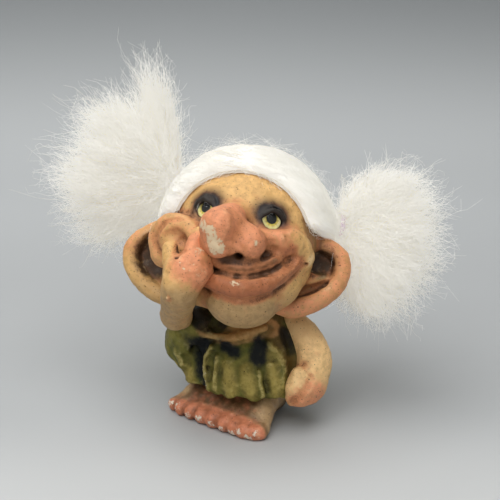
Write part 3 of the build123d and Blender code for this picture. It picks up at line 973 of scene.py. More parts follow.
@dataclass
class Head:
    """The head casting, sculpted in the head's frame."""

    eyes: tuple[Eye, Eye]
    cell: float = 0.4
    skull: float = 22.3
    nose: Roll = Roll.through([(0, -18.5, 2.4), (-1.3, -25.5, 0.0), (-2.4, -30.6, -2.7)], [3.8, 4.6, 5.2])
    nose_low: Roll = Roll(((-2.4, -30.6, -3.4), (-2.2, -30.4, -7.4)), (5.0, 3.9))
    nose_slope: Roll = Roll(((-0.6, -26.6, -1.4), (4.6, -26.8, -5.8)), (3.8, 4.0))
    septum: Blob = Blob((2.0, -27.6, -6.6), (4.6, 3.8, 3.6))
    wings: tuple[Blob, Blob] = (
        Blob((5.2, -26.8, -6.0), (4.3, 4.4, 4.2)), Blob((-5.0, -25.3, -6.7), (3.8, 4.2, 3.9))
    )
    left_cheek: Roll = Roll.through(
        [(8.4, -21.0, -3.6), (12.4, -20.0, -3.0), (16.6, -16.8, -3.6), (18.8, -13.4, -6.6)],
        [3.2, 3.8, 3.7, 3.4],
    )
    right_cheek: Roll = Roll.through(
        [
            (-21.6, -11.6, -9.4), (-22.4, -12.4, -5.0), (-19.6, -15.4, -1.6), (-13.8, -19.2, -2.2),
            (-10.4, -21.2, -5.2),
        ],
        [3.7, 3.9, 3.6, 2.9, 2.3],
    )
    under_cheek: Roll = Roll.through(
        [(-19.8, -12.4, -10.2), (-17.4, -14.4, -8.4), (-13.4, -17.6, -8.2)], [3.4, 3.2, 2.6]
    )
    upper_lip: Roll = Roll.through(
        [
            (-8.4, -22.6, -10.6), (-3.0, -25.4, -11.6), (4.0, -26.4, -13.2), (11.0, -23.2, -10.4),
            (15.6, -19.4, -5.4),
        ],
        [1.6, 1.9, 2.0, 1.6, 0.9],
    )
    slit: Roll = Roll.through(
        [
            (-7.6, -25.2, -12.4), (-3.2, -27.6, -13.4), (4.2, -28.9, -15.4), (11.8, -25.0, -12.0),
            (16.2, -20.8, -6.4),
        ],
        [0.3, 0.45, 0.55, 0.5, 0.3],
    )
    lower_lip: Roll = Roll.through(
        [
            (-6.6, -22.6, -16.0), (-1.0, -25.0, -17.4), (4.6, -25.8, -18.2), (11.6, -22.4, -15.4),
            (17.2, -17.4, -9.4),
        ],
        [2.4, 2.9, 3.0, 2.6, 1.7],
    )
    under_lip: Roll = Roll.through(
        [
            (-6.2, -23.6, -20.4), (-0.6, -26.0, -21.6), (5.0, -26.6, -22.0), (12.0, -22.8, -18.9),
            (18.2, -16.8, -11.4), (20.4, -14.8, -7.4),
        ],
        [0.3, 0.5, 0.55, 0.5, 0.4, 0.3],
    )
    cheek_fill: Blob = Blob((-17.0, -17.2, -6.0), (5.0, 3.0, 4.0))
    hollow_cheek: Roll = Roll.through(
        [(-20.4, -17.6, -6.6), (-17.2, -19.2, -4.8), (-13.8, -20.8, -5.0)], [0.5, 0.9, 0.7]
    )
    grooves: tuple[tuple[tuple[Point, ...], float, float], ...] = (
        (((-22.8, -17.0, -5.0), (-20.9, -18.7, -1.8), (-18.4, -20.0, -0.6), (-15.0, -21.0, -0.4)), 0.7, 0.5),
        (((-23.4, -15.6, -8.4), (-24.0, -15.6, -4.6), (-22.4, -17.4, -1.2)), 0.6, 0.25),
        (((14.6, -22.9, -2.4), (15.6, -22.2, -3.9), (17.0, -20.6, -5.8), (17.4, -19.6, -7.4)), 0.8, 0.42),
        (((18.4, -19.4, -1.4), (19.4, -18.2, -4.0), (19.2, -18.2, -6.6)), 0.7, 0.3),
        (((9.6, -24.8, -5.2), (12.1, -23.0, -7.3), (14.9, -21.4, -9.0), (16.6, -19.8, -9.2)), 1.2, 0.35),
        (((11.0, -24.6, -14.6), (15.6, -21.0, -11.4), (18.2, -18.4, -8.0)), 0.6, 0.28),
        (((14.7, -22.3, -15.6), (18.8, -18.2, -10.2), (20.2, -17.0, -6.0)), 0.7, 0.35),
    )
    chin: Blob = Blob((3.6, -16.4, -20.6), (10.2, 8.8, 7.9))
    left_rim: Roll = Roll.through(
        [
            (15.5, -2.8, 0.2), (19.5, -2.9, -0.6), (24.0, -2.6, -1.4), (28.4, -2.2, -4.2),
            (29.2, -2.0, -8.6), (27.4, -2.2, -13.4), (22.6, -2.6, -17.6), (16.8, -3.2, -20.2),
            (12.8, -3.8, -20.0),
        ],
        [2.1, 2.4, 2.5, 2.6, 2.6, 2.7, 2.9, 3.1, 2.7],
    )
    right_rim: Roll = Roll.through(
        [
            (-18, -2.8, 1.6), (-22.5, -2.8, 0.4), (-28.6, -2.5, -2.6), (-32.9, -2.2, -6.8),
            (-33.0, -2.0, -11.6), (-29.6, -2.2, -16.6), (-24.4, -2.4, -20.2), (-18.0, -3.2, -21.8),
        ],
        [2.3, 2.5, 2.6, 2.7, 2.7, 2.7, 2.6, 2.5],
    )
    plates: tuple[Blob, Blob] = (
        Blob((20.6, -0.3, -9.6), (9.4, 1.9, 10.2)), Blob((-24.0, -0.3, -10.0), (10.6, 1.9, 11.0))
    )
    left_bowl: Blob = Blob((22.6, -4.2, -6.6), (4.4, 3.0, 3.3))
    right_bowl: Blob = Blob((-25.4, -4.6, -9.0), (5.4, 3.4, 7.0))

    def sculpt(self) -> Sculpt:
        """All the strokes of the head."""
        s = Sculpt(self.cell, 0.22)
        s.add(Blob((0, 0, 0), (self.skull,) * 3))
        s.add(Blob((1.0, -8.0, -8.0), (19.5, 15.0, 15.5)), 4.0)
        s.add(Blob((11.0, -12.0, -14.5), (7.6, 7.2, 7.6)), 3.0)
        s.add(Blob((-8.0, -12.5, -16.0), (7.5, 7.2, 7.5)), 3.0)
        s.add(self.chin, 3.0)
        s.add(self.left_cheek, 1.8)
        s.add(self.right_cheek, 1.8)
        s.add(self.under_cheek, 1.6)
        s.add(self.cheek_fill, 2.0)
        s.groove(self.hollow_cheek.points, 1.4, 0.35, 1.2)
        s.add(self.nose, 2.2)
        s.add(self.nose_low, 2.4)
        s.add(self.septum, 2.0)
        s.add(self.nose_slope, 2.0)
        for wing in self.wings:
            s.add(wing, 3.2)
        s.carve(Roll(((3.2, -29.6, -10.4), (3.4, -26.5, -9.0)), (1.1, 0.9)), 1.2)
        s.groove(((1.4, -32.6, 1.4), (2.6, -33.0, -2.4), (2.8, -31.4, -7.0)), 2.4, 0.4, 2.2)
        s.add(self.upper_lip, 2.4)
        s.add(self.lower_lip, 1.6)
        s.carve(self.slit, 0.9)
        s.carve(self.under_lip, 1.0)
        for points, width, depth in self.grooves:
            s.groove(points, width, depth)
        self._ears(s)
        for eye in self.eyes:
            s.carve(Blob(eye.at(0, 0.2, 3.5), (3.8, 3.8, 3.3)), 3.2)
            turns = np.linspace(0, 2 * math.pi, 25)
            rim = [eye.at(3.5 * math.cos(t), 3.3 * math.sin(t), 0.3 + 0.35 * math.sin(t)) for t in turns]
            s.add(Roll(tuple(rim), (0.45,) * 25), 0.9)
            s.carve(Blob(eye.at(0, 0, 0.9), (3.12, 3.12, 3.12)), 0.15)
            lid = [eye.at(x, 2.15 - 0.2 * x * x, 1.3 - 0.09 * x * x) for x in (-3.1, -1.9, 0.0, 1.9, 3.1)]
            s.add(Roll.through(lid, [0.5, 0.75, 0.8, 0.75, 0.5]), 0.5)
        s.add(Roll(((-0.2, 7.5, -13.0), (-1.5, 14.0, -22.0)), (8.6, 8.6)), 2.0)
        return s

    def _ears(self, s: Sculpt) -> None:
        """Both ears: a back plate, a rolled rim and a bowl."""
        s.add(self.plates[0], 1.2)
        s.add(self.left_rim, 1.0)
        s.carve(self.left_bowl, 0.9)
        fold = Roll.through([(15.5, -3.6, -11.6), (20.0, -2.6, -11.6), (24.8, -2.0, -10.8)], [2.2, 1.9, 1.4])
        s.add(fold, 1.2)
        cut = Roll.through([(14.0, -5.4, -16.8), (20.0, -4.0, -15.2), (25.2, -3.4, -12.6)], [0.9, 1.0, 0.7])
        s.carve(cut, 1.2)
        s.add(self.plates[1], 1.2)
        s.add(self.right_rim, 1.0)
        s.carve(self.right_bowl, 0.9)

    def paint(self, p: Array, masks: dict[str, Array]) -> None:
        """Adds the masks of the head's colours.

        Args:
            p: Corners in the head's frame.
            masks: Masks to add to.
        """
        masks["lip"] = near(p, [self.upper_lip, self.lower_lip], 0.2, 2.6)
        nose = (
            near(p, [self.nose, self.nose_low, self.nose_slope, self.septum, *self.wings], 0.2, 2.6)
            * ease(p[:, 1], -20.0, -27.0)
        )
        cheeks = 0.9 * near(p, [self.left_cheek], 0.0, 3.0) * ease(p[:, 0], 21.0, 13.0)
        cheeks = np.maximum(cheeks, 0.5 * near(p, [self.right_cheek, self.under_cheek], 0.0, 2.0))
        rims = 0.6 * near(p, [self.left_rim], 0.2, 1.6)
        rims = np.maximum(rims, 0.5 * near(p, [self.right_rim], 0.2, 1.6) * ease(p[:, 2], -14.0, -7.0))
        # Less crease darkening, antiquing and painted shade, near the ear rims, the left cheek and the ear
        # plates.
        masks["hollow"] *= 1.0 - 0.85 * near(p, [self.left_rim, self.right_rim], -0.2, 0.8)
        masks["hollow"] *= 1.0 - 0.45 * near(p, [self.left_cheek], 0.5, 3.5)
        masks["hollow"] *= 1.0 - 0.7 * near(p, self.plates, 0.5, 2.5)
        masks["blush"] = np.max([nose, cheeks * 0.85, rims], axis=0)
        # Darker, creamier tan on the chin and lower face: part the paint's tone, part painted shade.
        masks["cream_and_shade"] = np.maximum(
            near(p, [self.chin], 0.4, 3.0) * ease(p[:, 2], -18.5, -22.0), 0.5 * ease(p[:, 2], -13.0, -20.0)
        )
        dark = [
            Blob(eye.at(0.3 * eye.side.value, 1.1, 0.6), (3.8, 2.9, 2.5)).distance(p) for eye in self.eyes
        ]
        masks["shadow"] = np.clip(1.0 - np.minimum(*dark) / 5.0, 0.0, 1.0) ** 1.5
        # Near-black painted shade deep in the ears, in the ear fold, in the cheek crease and under the nose.
        deep = [Blob((-26.4, -2.0, -9.4), (3.2, 2.4, 4.2)), Blob((22.2, -2.0, -6.2), (2.8, 2.2, 2.2))]
        folds = Roll.through(
            [(14.0, -4.8, -16.4), (20.0, -3.4, -14.9), (25.2, -2.8, -12.4)], [0.9, 1.0, 0.7]
        )
        under_nose = Blob((3.0, -26.4, -9.0), (3.4, 3.0, 1.5))
        shades = (
            (deep, 1.0, 6.0), ([folds], 0.75, 1.8), ([self.hollow_cheek], 0.3, 1.6),
            ([under_nose], 0.95, 1.8),
        )
        masks["bowl"] = np.max(
            [share * near(p, shapes, 0.1, none) for shapes, share, none in shades], axis=0
        )
        edge = p @ Wig().hairline() + Wig().hairline_set
        size = np.linalg.norm(p, axis=1)
        temple = (
            ease(edge, -2.2, 0.0)
            * (0.25 + 0.75 * ease(p[:, 2], 7.0, 1.0))
            * ease(np.abs(p[:, 0]), 12.0, 18.0)
            * ease(size, 25.0, 22.8)
        )
        # Brown along the hairline at the temples, and painted shade on the upper lip under the nose.
        masks["temple"] = np.maximum(
            temple, 0.95 * near(p, [self.upper_lip], 0.2, 2.2) * ease(p[:, 0], 17.0, 12.0)
        )
        patches = [
            Roll(((-6.4, -33.4, -2.8), (-3.8, -35.2, -5.0)), (0.6, 1.0)),
            Roll(((-3.8, -35.0, -5.4), (-2.2, -33.6, -9.0)), (0.9, 1.5)),
        ]
        bits = [
            Blob((1.4, -36.2, 1.4), (0.5, 0.6, 0.4)), Blob((-1.8, -36.6, 1.8), (0.8, 0.6, 0.5)),
            Blob((7.6, -30.6, -6.2), (0.5, 0.7, 0.6)), Blob((3.0, -29.0, -17.4), (1.2, 0.8, 0.4)),
        ]
        masks["chip"] = (
            0.85 * near(p, patches, 0.0, 2.0)
            + 0.7 * near(p, bits, 0.0, 1.1)
            + 0.3 * masks["ridge"] * nose
        )

    def build(self, paint: Material) -> None:
        """Makes the head casting."""
        local, points, quads, masks = cast("head", self.sculpt(), True)
        self.paint(local, masks)
        piece = make_piece("troll_head", points, quads, masks)
        place(piece, paint, Body.FIGURE, ["head_casting"])


@dataclass
class Torso:
    """The tunic casting with its pleats, sleeve, slits and scalloped hem."""

    cell: float = 0.36
    bell: Skirt = Skirt(
        levels=(
            (11.4, 20.2, 16.8), (14.5, 19.6, 16.3), (17.25, 18.6, 15.5), (25.0, 16.8, 13.8),
            (30.0, 14.2, 11.8), (34.0, 11.6, 10.2), (37.0, 9.0, 8.6),
        ),
        pleats=(
            (-150, 1.4, 9), (-128, 1.2, 7), (-112, -0.8, 5), (-22, 1.0, 5), (-4, 1.2, 6), (20, 1.4, 8),
            (44, 1.2, 7), (66, 1.6, 9),
            (90, 1.2, 8), (112, 1.5, 8), (136, 1.3, 9), (160, 1.6, 8), (182, 1.0, 7),
        ),
        scallop=0.6,
        scallops=11,
    )
    sleeve: Roll = Roll.through(
        [(-17.4, -6.8, 20.2), (-15.6, -8.0, 23.4), (-11.0, -10.0, 28.0)], [8.2, 7.9, 6.3]
    )
    slits: tuple[Roll, ...] = (
        Roll.through(
            [(-11.0, -12.6, 23.2), (-9.5, -14.0, 18.9), (-7.3, -15.8, 15.4), (-5.0, -17.2, 11.8)],
            [1.2, 1.4, 1.3, 1.0],
        ),
        Roll.through([(0.0, -14.4, 25.8), (2.6, -14.6, 25.4), (5.0, -14.3, 24.2)], [0.6, 0.9, 0.5]),
        Roll.through([(11.6, -10.0, 27.2), (11.6, -11.0, 25.0), (11.2, -11.8, 22.8)], [0.6, 0.9, 0.6]),
    )
    lumps: tuple[Roll, ...] = (
        Roll.through([(2.6, -14.0, 19.4), (4.4, -15.0, 15.4), (5.0, -15.9, 12.6)], [1.2, 1.9, 1.3]),
        Roll.through([(8.2, -12.8, 19.4), (9.4, -12.9, 16.0), (10.8, -13.6, 13.4)], [1.0, 2.1, 1.5]),
        Roll.through([(14.6, -8.8, 20.0), (15.6, -9.0, 16.2), (16.4, -9.2, 13.4)], [0.9, 1.5, 1.4]),
        Roll.through([(-16.0, -9.8, 16.8), (-14.0, -12.0, 14.2), (-11.6, -13.6, 12.6)], [1.6, 2.0, 1.4]),
    )
    crests: tuple[Roll, ...] = (
        Roll.through([(13.0, -8.6, 27.4), (16.6, -6.6, 21.6), (17.6, -8.6, 15.0)], [0.5, 0.7, 0.7]),
        Roll.through([(12.2, -12.0, 19.3), (13.4, -12.7, 16.0), (14.2, -13.0, 12.8)], [0.4, 0.6, 0.6]),
        Roll.through([(-0.9, -15.0, 21.7), (-0.6, -16.1, 17.5), (-0.2, -17.0, 12.8)], [0.4, 0.7, 0.8]),
        Roll.through(
            [(-3.4, -14.6, 24.2), (-5.4, -15.2, 20.0), (-4.2, -16.6, 15.6), (-2.4, -17.4, 12.2)],
            [0.6, 0.8, 0.8, 0.7],
        ),
        Roll.through([(-20.8, -10.2, 22.0), (-19.4, -13.0, 18.6), (-16.0, -14.4, 15.4)], [0.5, 0.8, 0.6]),
        Roll.through([(-15.0, -14.6, 24.4), (-16.6, -14.6, 20.6), (-14.4, -15.0, 16.0)], [0.5, 0.8, 0.6]),
    )

    def sculpt(self) -> Sculpt:
        """All the strokes of the tunic."""
        s = Sculpt(self.cell, 0.4)
        s.add(self.bell)
        s.add(self.sleeve, 2.0)
        collar = [(-6.0, -13.6, 27.8), (0.6, -13.6, 27.6), (6.5, -11.4, 29.6), (11.0, -7.6, 31.4)]
        s.add(Roll.through(collar, [1.1, 1.3, 1.3, 1.1]), 1.4)
        for lump in self.lumps:
            s.add(lump, 3.0)
        for crest in self.crests:
            s.add(Roll(crest.points, tuple(0.75 * r for r in crest.radii)), 2.2)
        for slit in self.slits:
            s.carve(slit, 1.4)
        armpit = [(15.8, -3.0, 30.0), (17.6, -2.8, 25.0), (18.8, -3.4, 19.0)]
        s.carve(Roll.through(armpit, [1.2, 1.4, 0.8]), 1.2)
        s.carve(Blob((-0.6, -1.2, 6.6), (17.2, 14.2, 5.6)), 0.6)
        s.add(Roll(((-1.0, 0.0, 34.0), (-1.0, 0.0, 39.0)), (7.6, 7.0)), 2.0)
        return s

    def paint(self, p: Array, masks: dict[str, Array]) -> None:
        """Adds the masks of the tunic's colours.

        Args:
            p: Corners on the figure.
            masks: Masks to add to.
        """
        wide = [
            Roll(((-10.8, -13.8, 25.2), (-7.4, -13.6, 24.4)), (1.3, 1.5)),
            Roll.through(
                [(-9.6, -13.4, 24.0), (-8.4, -13.8, 18.9), (-7.2, -15.4, 15.0), (-4.8, -17.0, 12.4)],
                [1.6, 1.4, 1.2, 0.8],
            ),
            Roll.through([(1.0, -14.2, 25.6), (4.6, -14.0, 24.4)], [1.0, 0.8]),
            Roll.through([(11.2, -10.2, 27.4), (11.4, -11.4, 23.4)], [1.2, 1.5]),
        ]
        # Less crease darkening, antiquing and painted shade, on the tunic.
        masks["hollow"] *= 0.65
        masks["navy"] = np.clip(1.0 - np.min([w.distance(p) for w in wide], axis=0) / 2.6, 0.0, 1.0)
        # Lighter ochre on the lumps, crests and flank: part the tunic's paint, part painted highlight.
        flank = Roll.through([(14.0, -9.0, 26.0), (15.1, -8.1, 22.8), (15.5, -10.2, 18.7)], [1.0, 1.4, 1.2])
        lit = [
            near(p, self.lumps, 0.2, 2.2) * 0.8, near(p, self.crests, 0.0, 0.8) * 0.55,
            0.8 * near(p, [flank], 0.0, 2.0),
        ]
        masks["yellow_and_highlight"] = np.max(lit, axis=0)
        collar = [(-7.0, -13.0, 28.6), (1.0, -13.0, 28.2), (8.0, -10.4, 30.6), (13.0, -6.0, 31.6)]
        masks["tan"] = near(p, [Roll.through(collar, [1.6, 1.9, 2.0, 2.0])], 0.2, 1.8)
        # Painted shade in brown beside the arm and under the head.
        side = Roll.through([(13.5, -5.5, 31.5), (16.0, -4.2, 26.0), (18.0, -4.0, 19.0)], [2.8, 2.4, 1.6])
        masks["umber_shade"] = np.maximum(near(p, [side], 0.0, 2.4), ease(p[:, 2], 30.6, 33.0))
        # Painted shadow, near black, under the chin behind the raised forearm and in the armpit.
        armpit = Roll.through([(15.8, -3.0, 30.0), (17.6, -2.8, 25.0)], [1.4, 1.4])
        masks["black"] = near(p, [Blob((-6.5, -10.8, 31.4), (6.0, 4.6, 3.4)), armpit], 0.2, 2.2)
        masks["chip"] = (
            0.3 * masks["ridge"] * ease(p[:, 2], 24.0, 12.0)
            + 0.35 * near(p, [self.crests[3]], 0.0, 1.0)
        )

    def build(self, paint: Material) -> None:
        """Makes the tunic casting."""
        local, points, quads, masks = cast("tunic", self.sculpt(), False)
        self.paint(local, masks)
        piece = make_piece("troll_tunic", points, quads, masks)
        place(piece, paint, Body.FIGURE, ["body_casting"])


@dataclass
class Feet:
    """Both bare feet in one casting, toes in a row."""

    cell: float = 0.34
    toe_line: float = -16.9
    toes: tuple[float, ...] = (-17.4, -13.6, -9.4, -5.0, -0.6, 3.6, 7.2, 10.6, 13.4, 15.2)
    toe_sizes: tuple[float, ...] = (2.1, 2.3, 2.4, 2.5, 2.6, 2.5, 2.3, 2.3, 2.2, 2.0)
    toe_steps: tuple[float, ...] = (1.8, 0.6, 0.1, -0.2, -0.4, -0.4, -0.6, -0.5, 0.2, 1.5)

    def sculpt(self) -> Sculpt:
        """All the strokes of the feet: a fan of rolls for the insteps, then the toes."""
        s = Sculpt(self.cell, 0.25)
        s.add(Roll(((-1.0, 0.0, 9.0), (-1.0, 0.0, 15.6)), (9.2, 9.2)))
        for x, size, step in zip(self.toes, self.toe_sizes, self.toe_steps):
            front = self.toe_line + step
            high = (-1.2 + 0.62 * (x + 1.2), -5.0, 6.6)
            heel = (-1.2 + 0.42 * (x + 1.2), 3.6, 4.4)
            ball = (0.95 * x - 0.1, front + 2.4, size + 0.4)
            s.add(Roll.through([heel, high, ball], [4.4, 4.3, size], 3), 3.0)
        for x, size, step in zip(self.toes, self.toe_sizes, self.toe_steps):
            front = self.toe_line + step
            s.add(Roll(((0.98 * x, front + 1.0, size), (x, front, size - 0.1)), (size - 0.1, size)), 1.3)
        s.carve(Slab((0.0, 0.0, 0.0), (0.0, 0.0, 1.0)), 0.25)
        return s

    def paint(self, p: Array, masks: dict[str, Array]) -> None:
        """Adds the masks of the feet's colours.

        Args:
            p: Corners on the figure.
            masks: Masks to add to.
        """
        masks["toes"] = ease(p[:, 1], -14.4, -16.8)
        # Painted shade in brown behind the toes, under the tunic's hem, strongest in the middle.
        masks["umber_shade"] = ease(p[:, 1], -17.4, -14.4) * (0.7 + 0.3 * ease(np.abs(p[:, 0] + 1.0), 14.0, 7.0))
        masks["side"] = ease(np.abs(p[:, 0] + 1.0), 10.5, 14.0) * ease(p[:, 1], -16.0, -12.0)
        worn = []
        for x, size, step in zip(self.toes, self.toe_sizes, self.toe_steps):
            front, high = self.toe_line + step - 0.8 * size, (1.0 + 0.4 * math.sin(5.0 * x)) * size
            worn.append(Blob((x + 0.5 * math.sin(7.0 * x), front, high), (0.6, 0.8, 0.5)))
        masks["chip"] = (
            0.72 * near(p, worn, 0.0, 1.7)
            + 0.2 * ease(p[:, 2], 2.0, 0.4) * ease(p[:, 1], -14.0, -17.0)
        )

    def build(self, paint: Material) -> None:
        """Makes the feet casting."""
        local, points, quads, masks = cast("feet", self.sculpt(), False)
        self.paint(local, masks)
        piece = make_piece("troll_feet", points, quads, masks)
        place(piece, paint, Body.FIGURE, ["feet_casting"])


@dataclass
class HangingArm:
    """The left arm, hanging with a closed fist."""

    cell: float = 0.34
    fist: Blob = Blob((22.3, -2.2, 13.8), (5.4, 5.8, 5.4))
    crease: tuple[Point, ...] = (
        (25.4, -4.4, 18.2), (25.0, -7.0, 15.6), (23.6, -8.2, 13.0), (21.4, -8.0, 10.8)
    )

    def sculpt(self) -> Sculpt:
        """All the strokes of the arm."""
        s = Sculpt(self.cell, 0.3)
        arm = [(13.4, 3.4, 30.2), (17.9, 3.7, 26.2), (21.2, 3.2, 20.4), (22.2, 0.2, 15.4)]
        s.add(Roll.through(arm, [4.1, 4.8, 5.5, 5.3]))
        s.add(self.fist, 1.8)
        thumb = [(21.2, -4.8, 18.0), (20.6, -6.2, 14.8), (20.0, -6.2, 12.2)]
        s.add(Roll.through(thumb, [2.4, 2.4, 2.0]), 2.0)
        for i in range(3):
            knuckle = (24.8 - 0.9 * i, -5.8 + 0.2 * i, 14.6 - 1.8 * i)
            s.add(Roll((knuckle, tuple(np.add(knuckle, (-3.2, -0.6, -1.0)))), (1.7, 1.4)), 2.0)
        s.groove(self.crease, 0.8, 0.25, 1.2)
        return s

    def build(self, paint: Material) -> None:
        """Makes the left arm."""
        local, points, quads, masks = cast("left arm", self.sculpt(), False)
        knuckles = Roll(((25.6, -4.0, 13.0), (23.0, -6.0, 11.0)), (2.6, 2.4))
        masks["blush"] = 0.8 * near(local, [knuckles], 0.0, 4.2)
        # Darker, creamier tan near the shoulder: part the paint's tone, part painted shade.
        masks["cream_and_shade"] = 0.4 * ease(local[:, 2], 24.0, 30.0)
        masks["chip"] = 0.3 * masks["ridge"] * masks["blush"]
        masks["pale"] = np.ones(len(local))
        piece = make_piece("troll_left_arm", points, quads, masks)
        place(piece, paint, Body.FIGURE, ["left_arm"])


@dataclass
class RaisedArm:
    """The right arm, with the elbow out and the hand laid on the cheek."""

    cell: float = 0.34
    shoulder: Point = (-14.0, -15.4, 31.5)
    elbow: Point = (-6.7, -26.5, 37.6)
    wrist: Point = HEAD.spot(-12.3, -25.8, -20.8)
    palm: Point = HEAD.spot(-11.9, -26.6, -16.2)
    fingers: tuple[tuple[tuple[Point, ...], Point, float], ...] = (
        (((-13.4, -26.0, -15.0), (-15.8, -25.2, -12.6), (-16.8, -23.8, -9.2)), (3.0, 2.5, 2.2), 1.4),
        (((-10.2, -27.4, -13.6), (-9.9, -26.4, -8.8), (-9.2, -24.2, -4.6)), (3.0, 2.4, 2.2), 1.2),
        (((-11.9, -26.6, -16.2), (-8.4, -28.6, -12.8), (-6.9, -27.2, -11.2)), (3.2, 2.4, 2.0), 1.8),
        (((-11.9, -26.6, -16.2), (-7.2, -28.2, -15.6), (-5.7, -26.4, -14.8)), (3.2, 2.3, 1.9), 1.8),
    )

    def sculpt(self) -> Sculpt:
        """All the strokes of the arm and hand."""
        s = Sculpt(self.cell, 0.3)
        s.add(Roll((self.shoulder, self.elbow), (3.6, 4.0)))
        middle = tuple(np.add(self.elbow, self.wrist) / 2)
        s.add(Roll.through([self.elbow, middle, self.wrist, self.palm], [4.3, 4.7, 5.2, 5.5]), 1.6)
        for spots, radii, soft in self.fingers:
            s.add(Roll.through([HEAD.spot(*spot) for spot in spots], radii), soft)
        s.add(Roll((HEAD.spot(-9.6, -26.4, -15.6), HEAD.spot(-8.0, -26.0, -12.6)), (4.6, 3.6)), 2.4)
        s.carve(
            Roll.through([HEAD.spot(-13.6, -27.8, -9.8), HEAD.spot(-13.0, -29.6, -12.8)], [0.5, 0.3]), 1.3
        )
        warts = (
            ((-11.4, -31.4, -18.4), 0.7), ((-13.4, -30.9, -19.6), 0.65), ((-12.4, -31.5, -17.2), 0.5),
            ((-14.4, -29.8, -23.4), 0.4),
        )
        for spot, size in warts:
            s.add(Blob(HEAD.spot(*spot), (size,) * 3), 0.5)
        return s

    def build(self, paint: Material) -> None:
        """Makes the right arm."""
        local, points, quads, masks = cast("right arm", self.sculpt(), False)
        red = [
            Roll((HEAD.spot(-9.8, -29.5, -14.5), HEAD.spot(-10.2, -27.6, -8.0)), (2.6, 1.6)),
            Roll((HEAD.spot(-10.2, -30.5, -13.0), HEAD.spot(-6.7, -28.7, -15.8)), (2.2, 2.2)),
        ]
        masks["blush"] = 0.9 * near(local, red, 0.4, 5.0)
        # Darker, creamier tan on the forearm below the head: part the paint's tone, part painted shade.
        masks["cream_and_shade"] = ease(
            local @ HEAD.matrix()[:, 2] - np.array(HEAD.centre) @ HEAD.matrix()[:, 2], -17.0, -24.0
        )
        flakes = [
            Blob(HEAD.spot(-8.0, -28.6, -10.4), (1.2, 1.4, 1.0)),
            Roll((HEAD.spot(-10.4, -31.6, -14.0), HEAD.spot(-6.7, -29.4, -15.6)), (1.4, 1.2)),
        ]
        masks["chip"] = 0.62 * near(local, flakes[:1], 0.0, 2.0) + 0.42 * near(local, flakes[1:], 0.0, 2.2)
        piece = make_piece("troll_right_arm", points, quads, masks)
        place(piece, paint, Body.FIGURE, ["right_arm"])


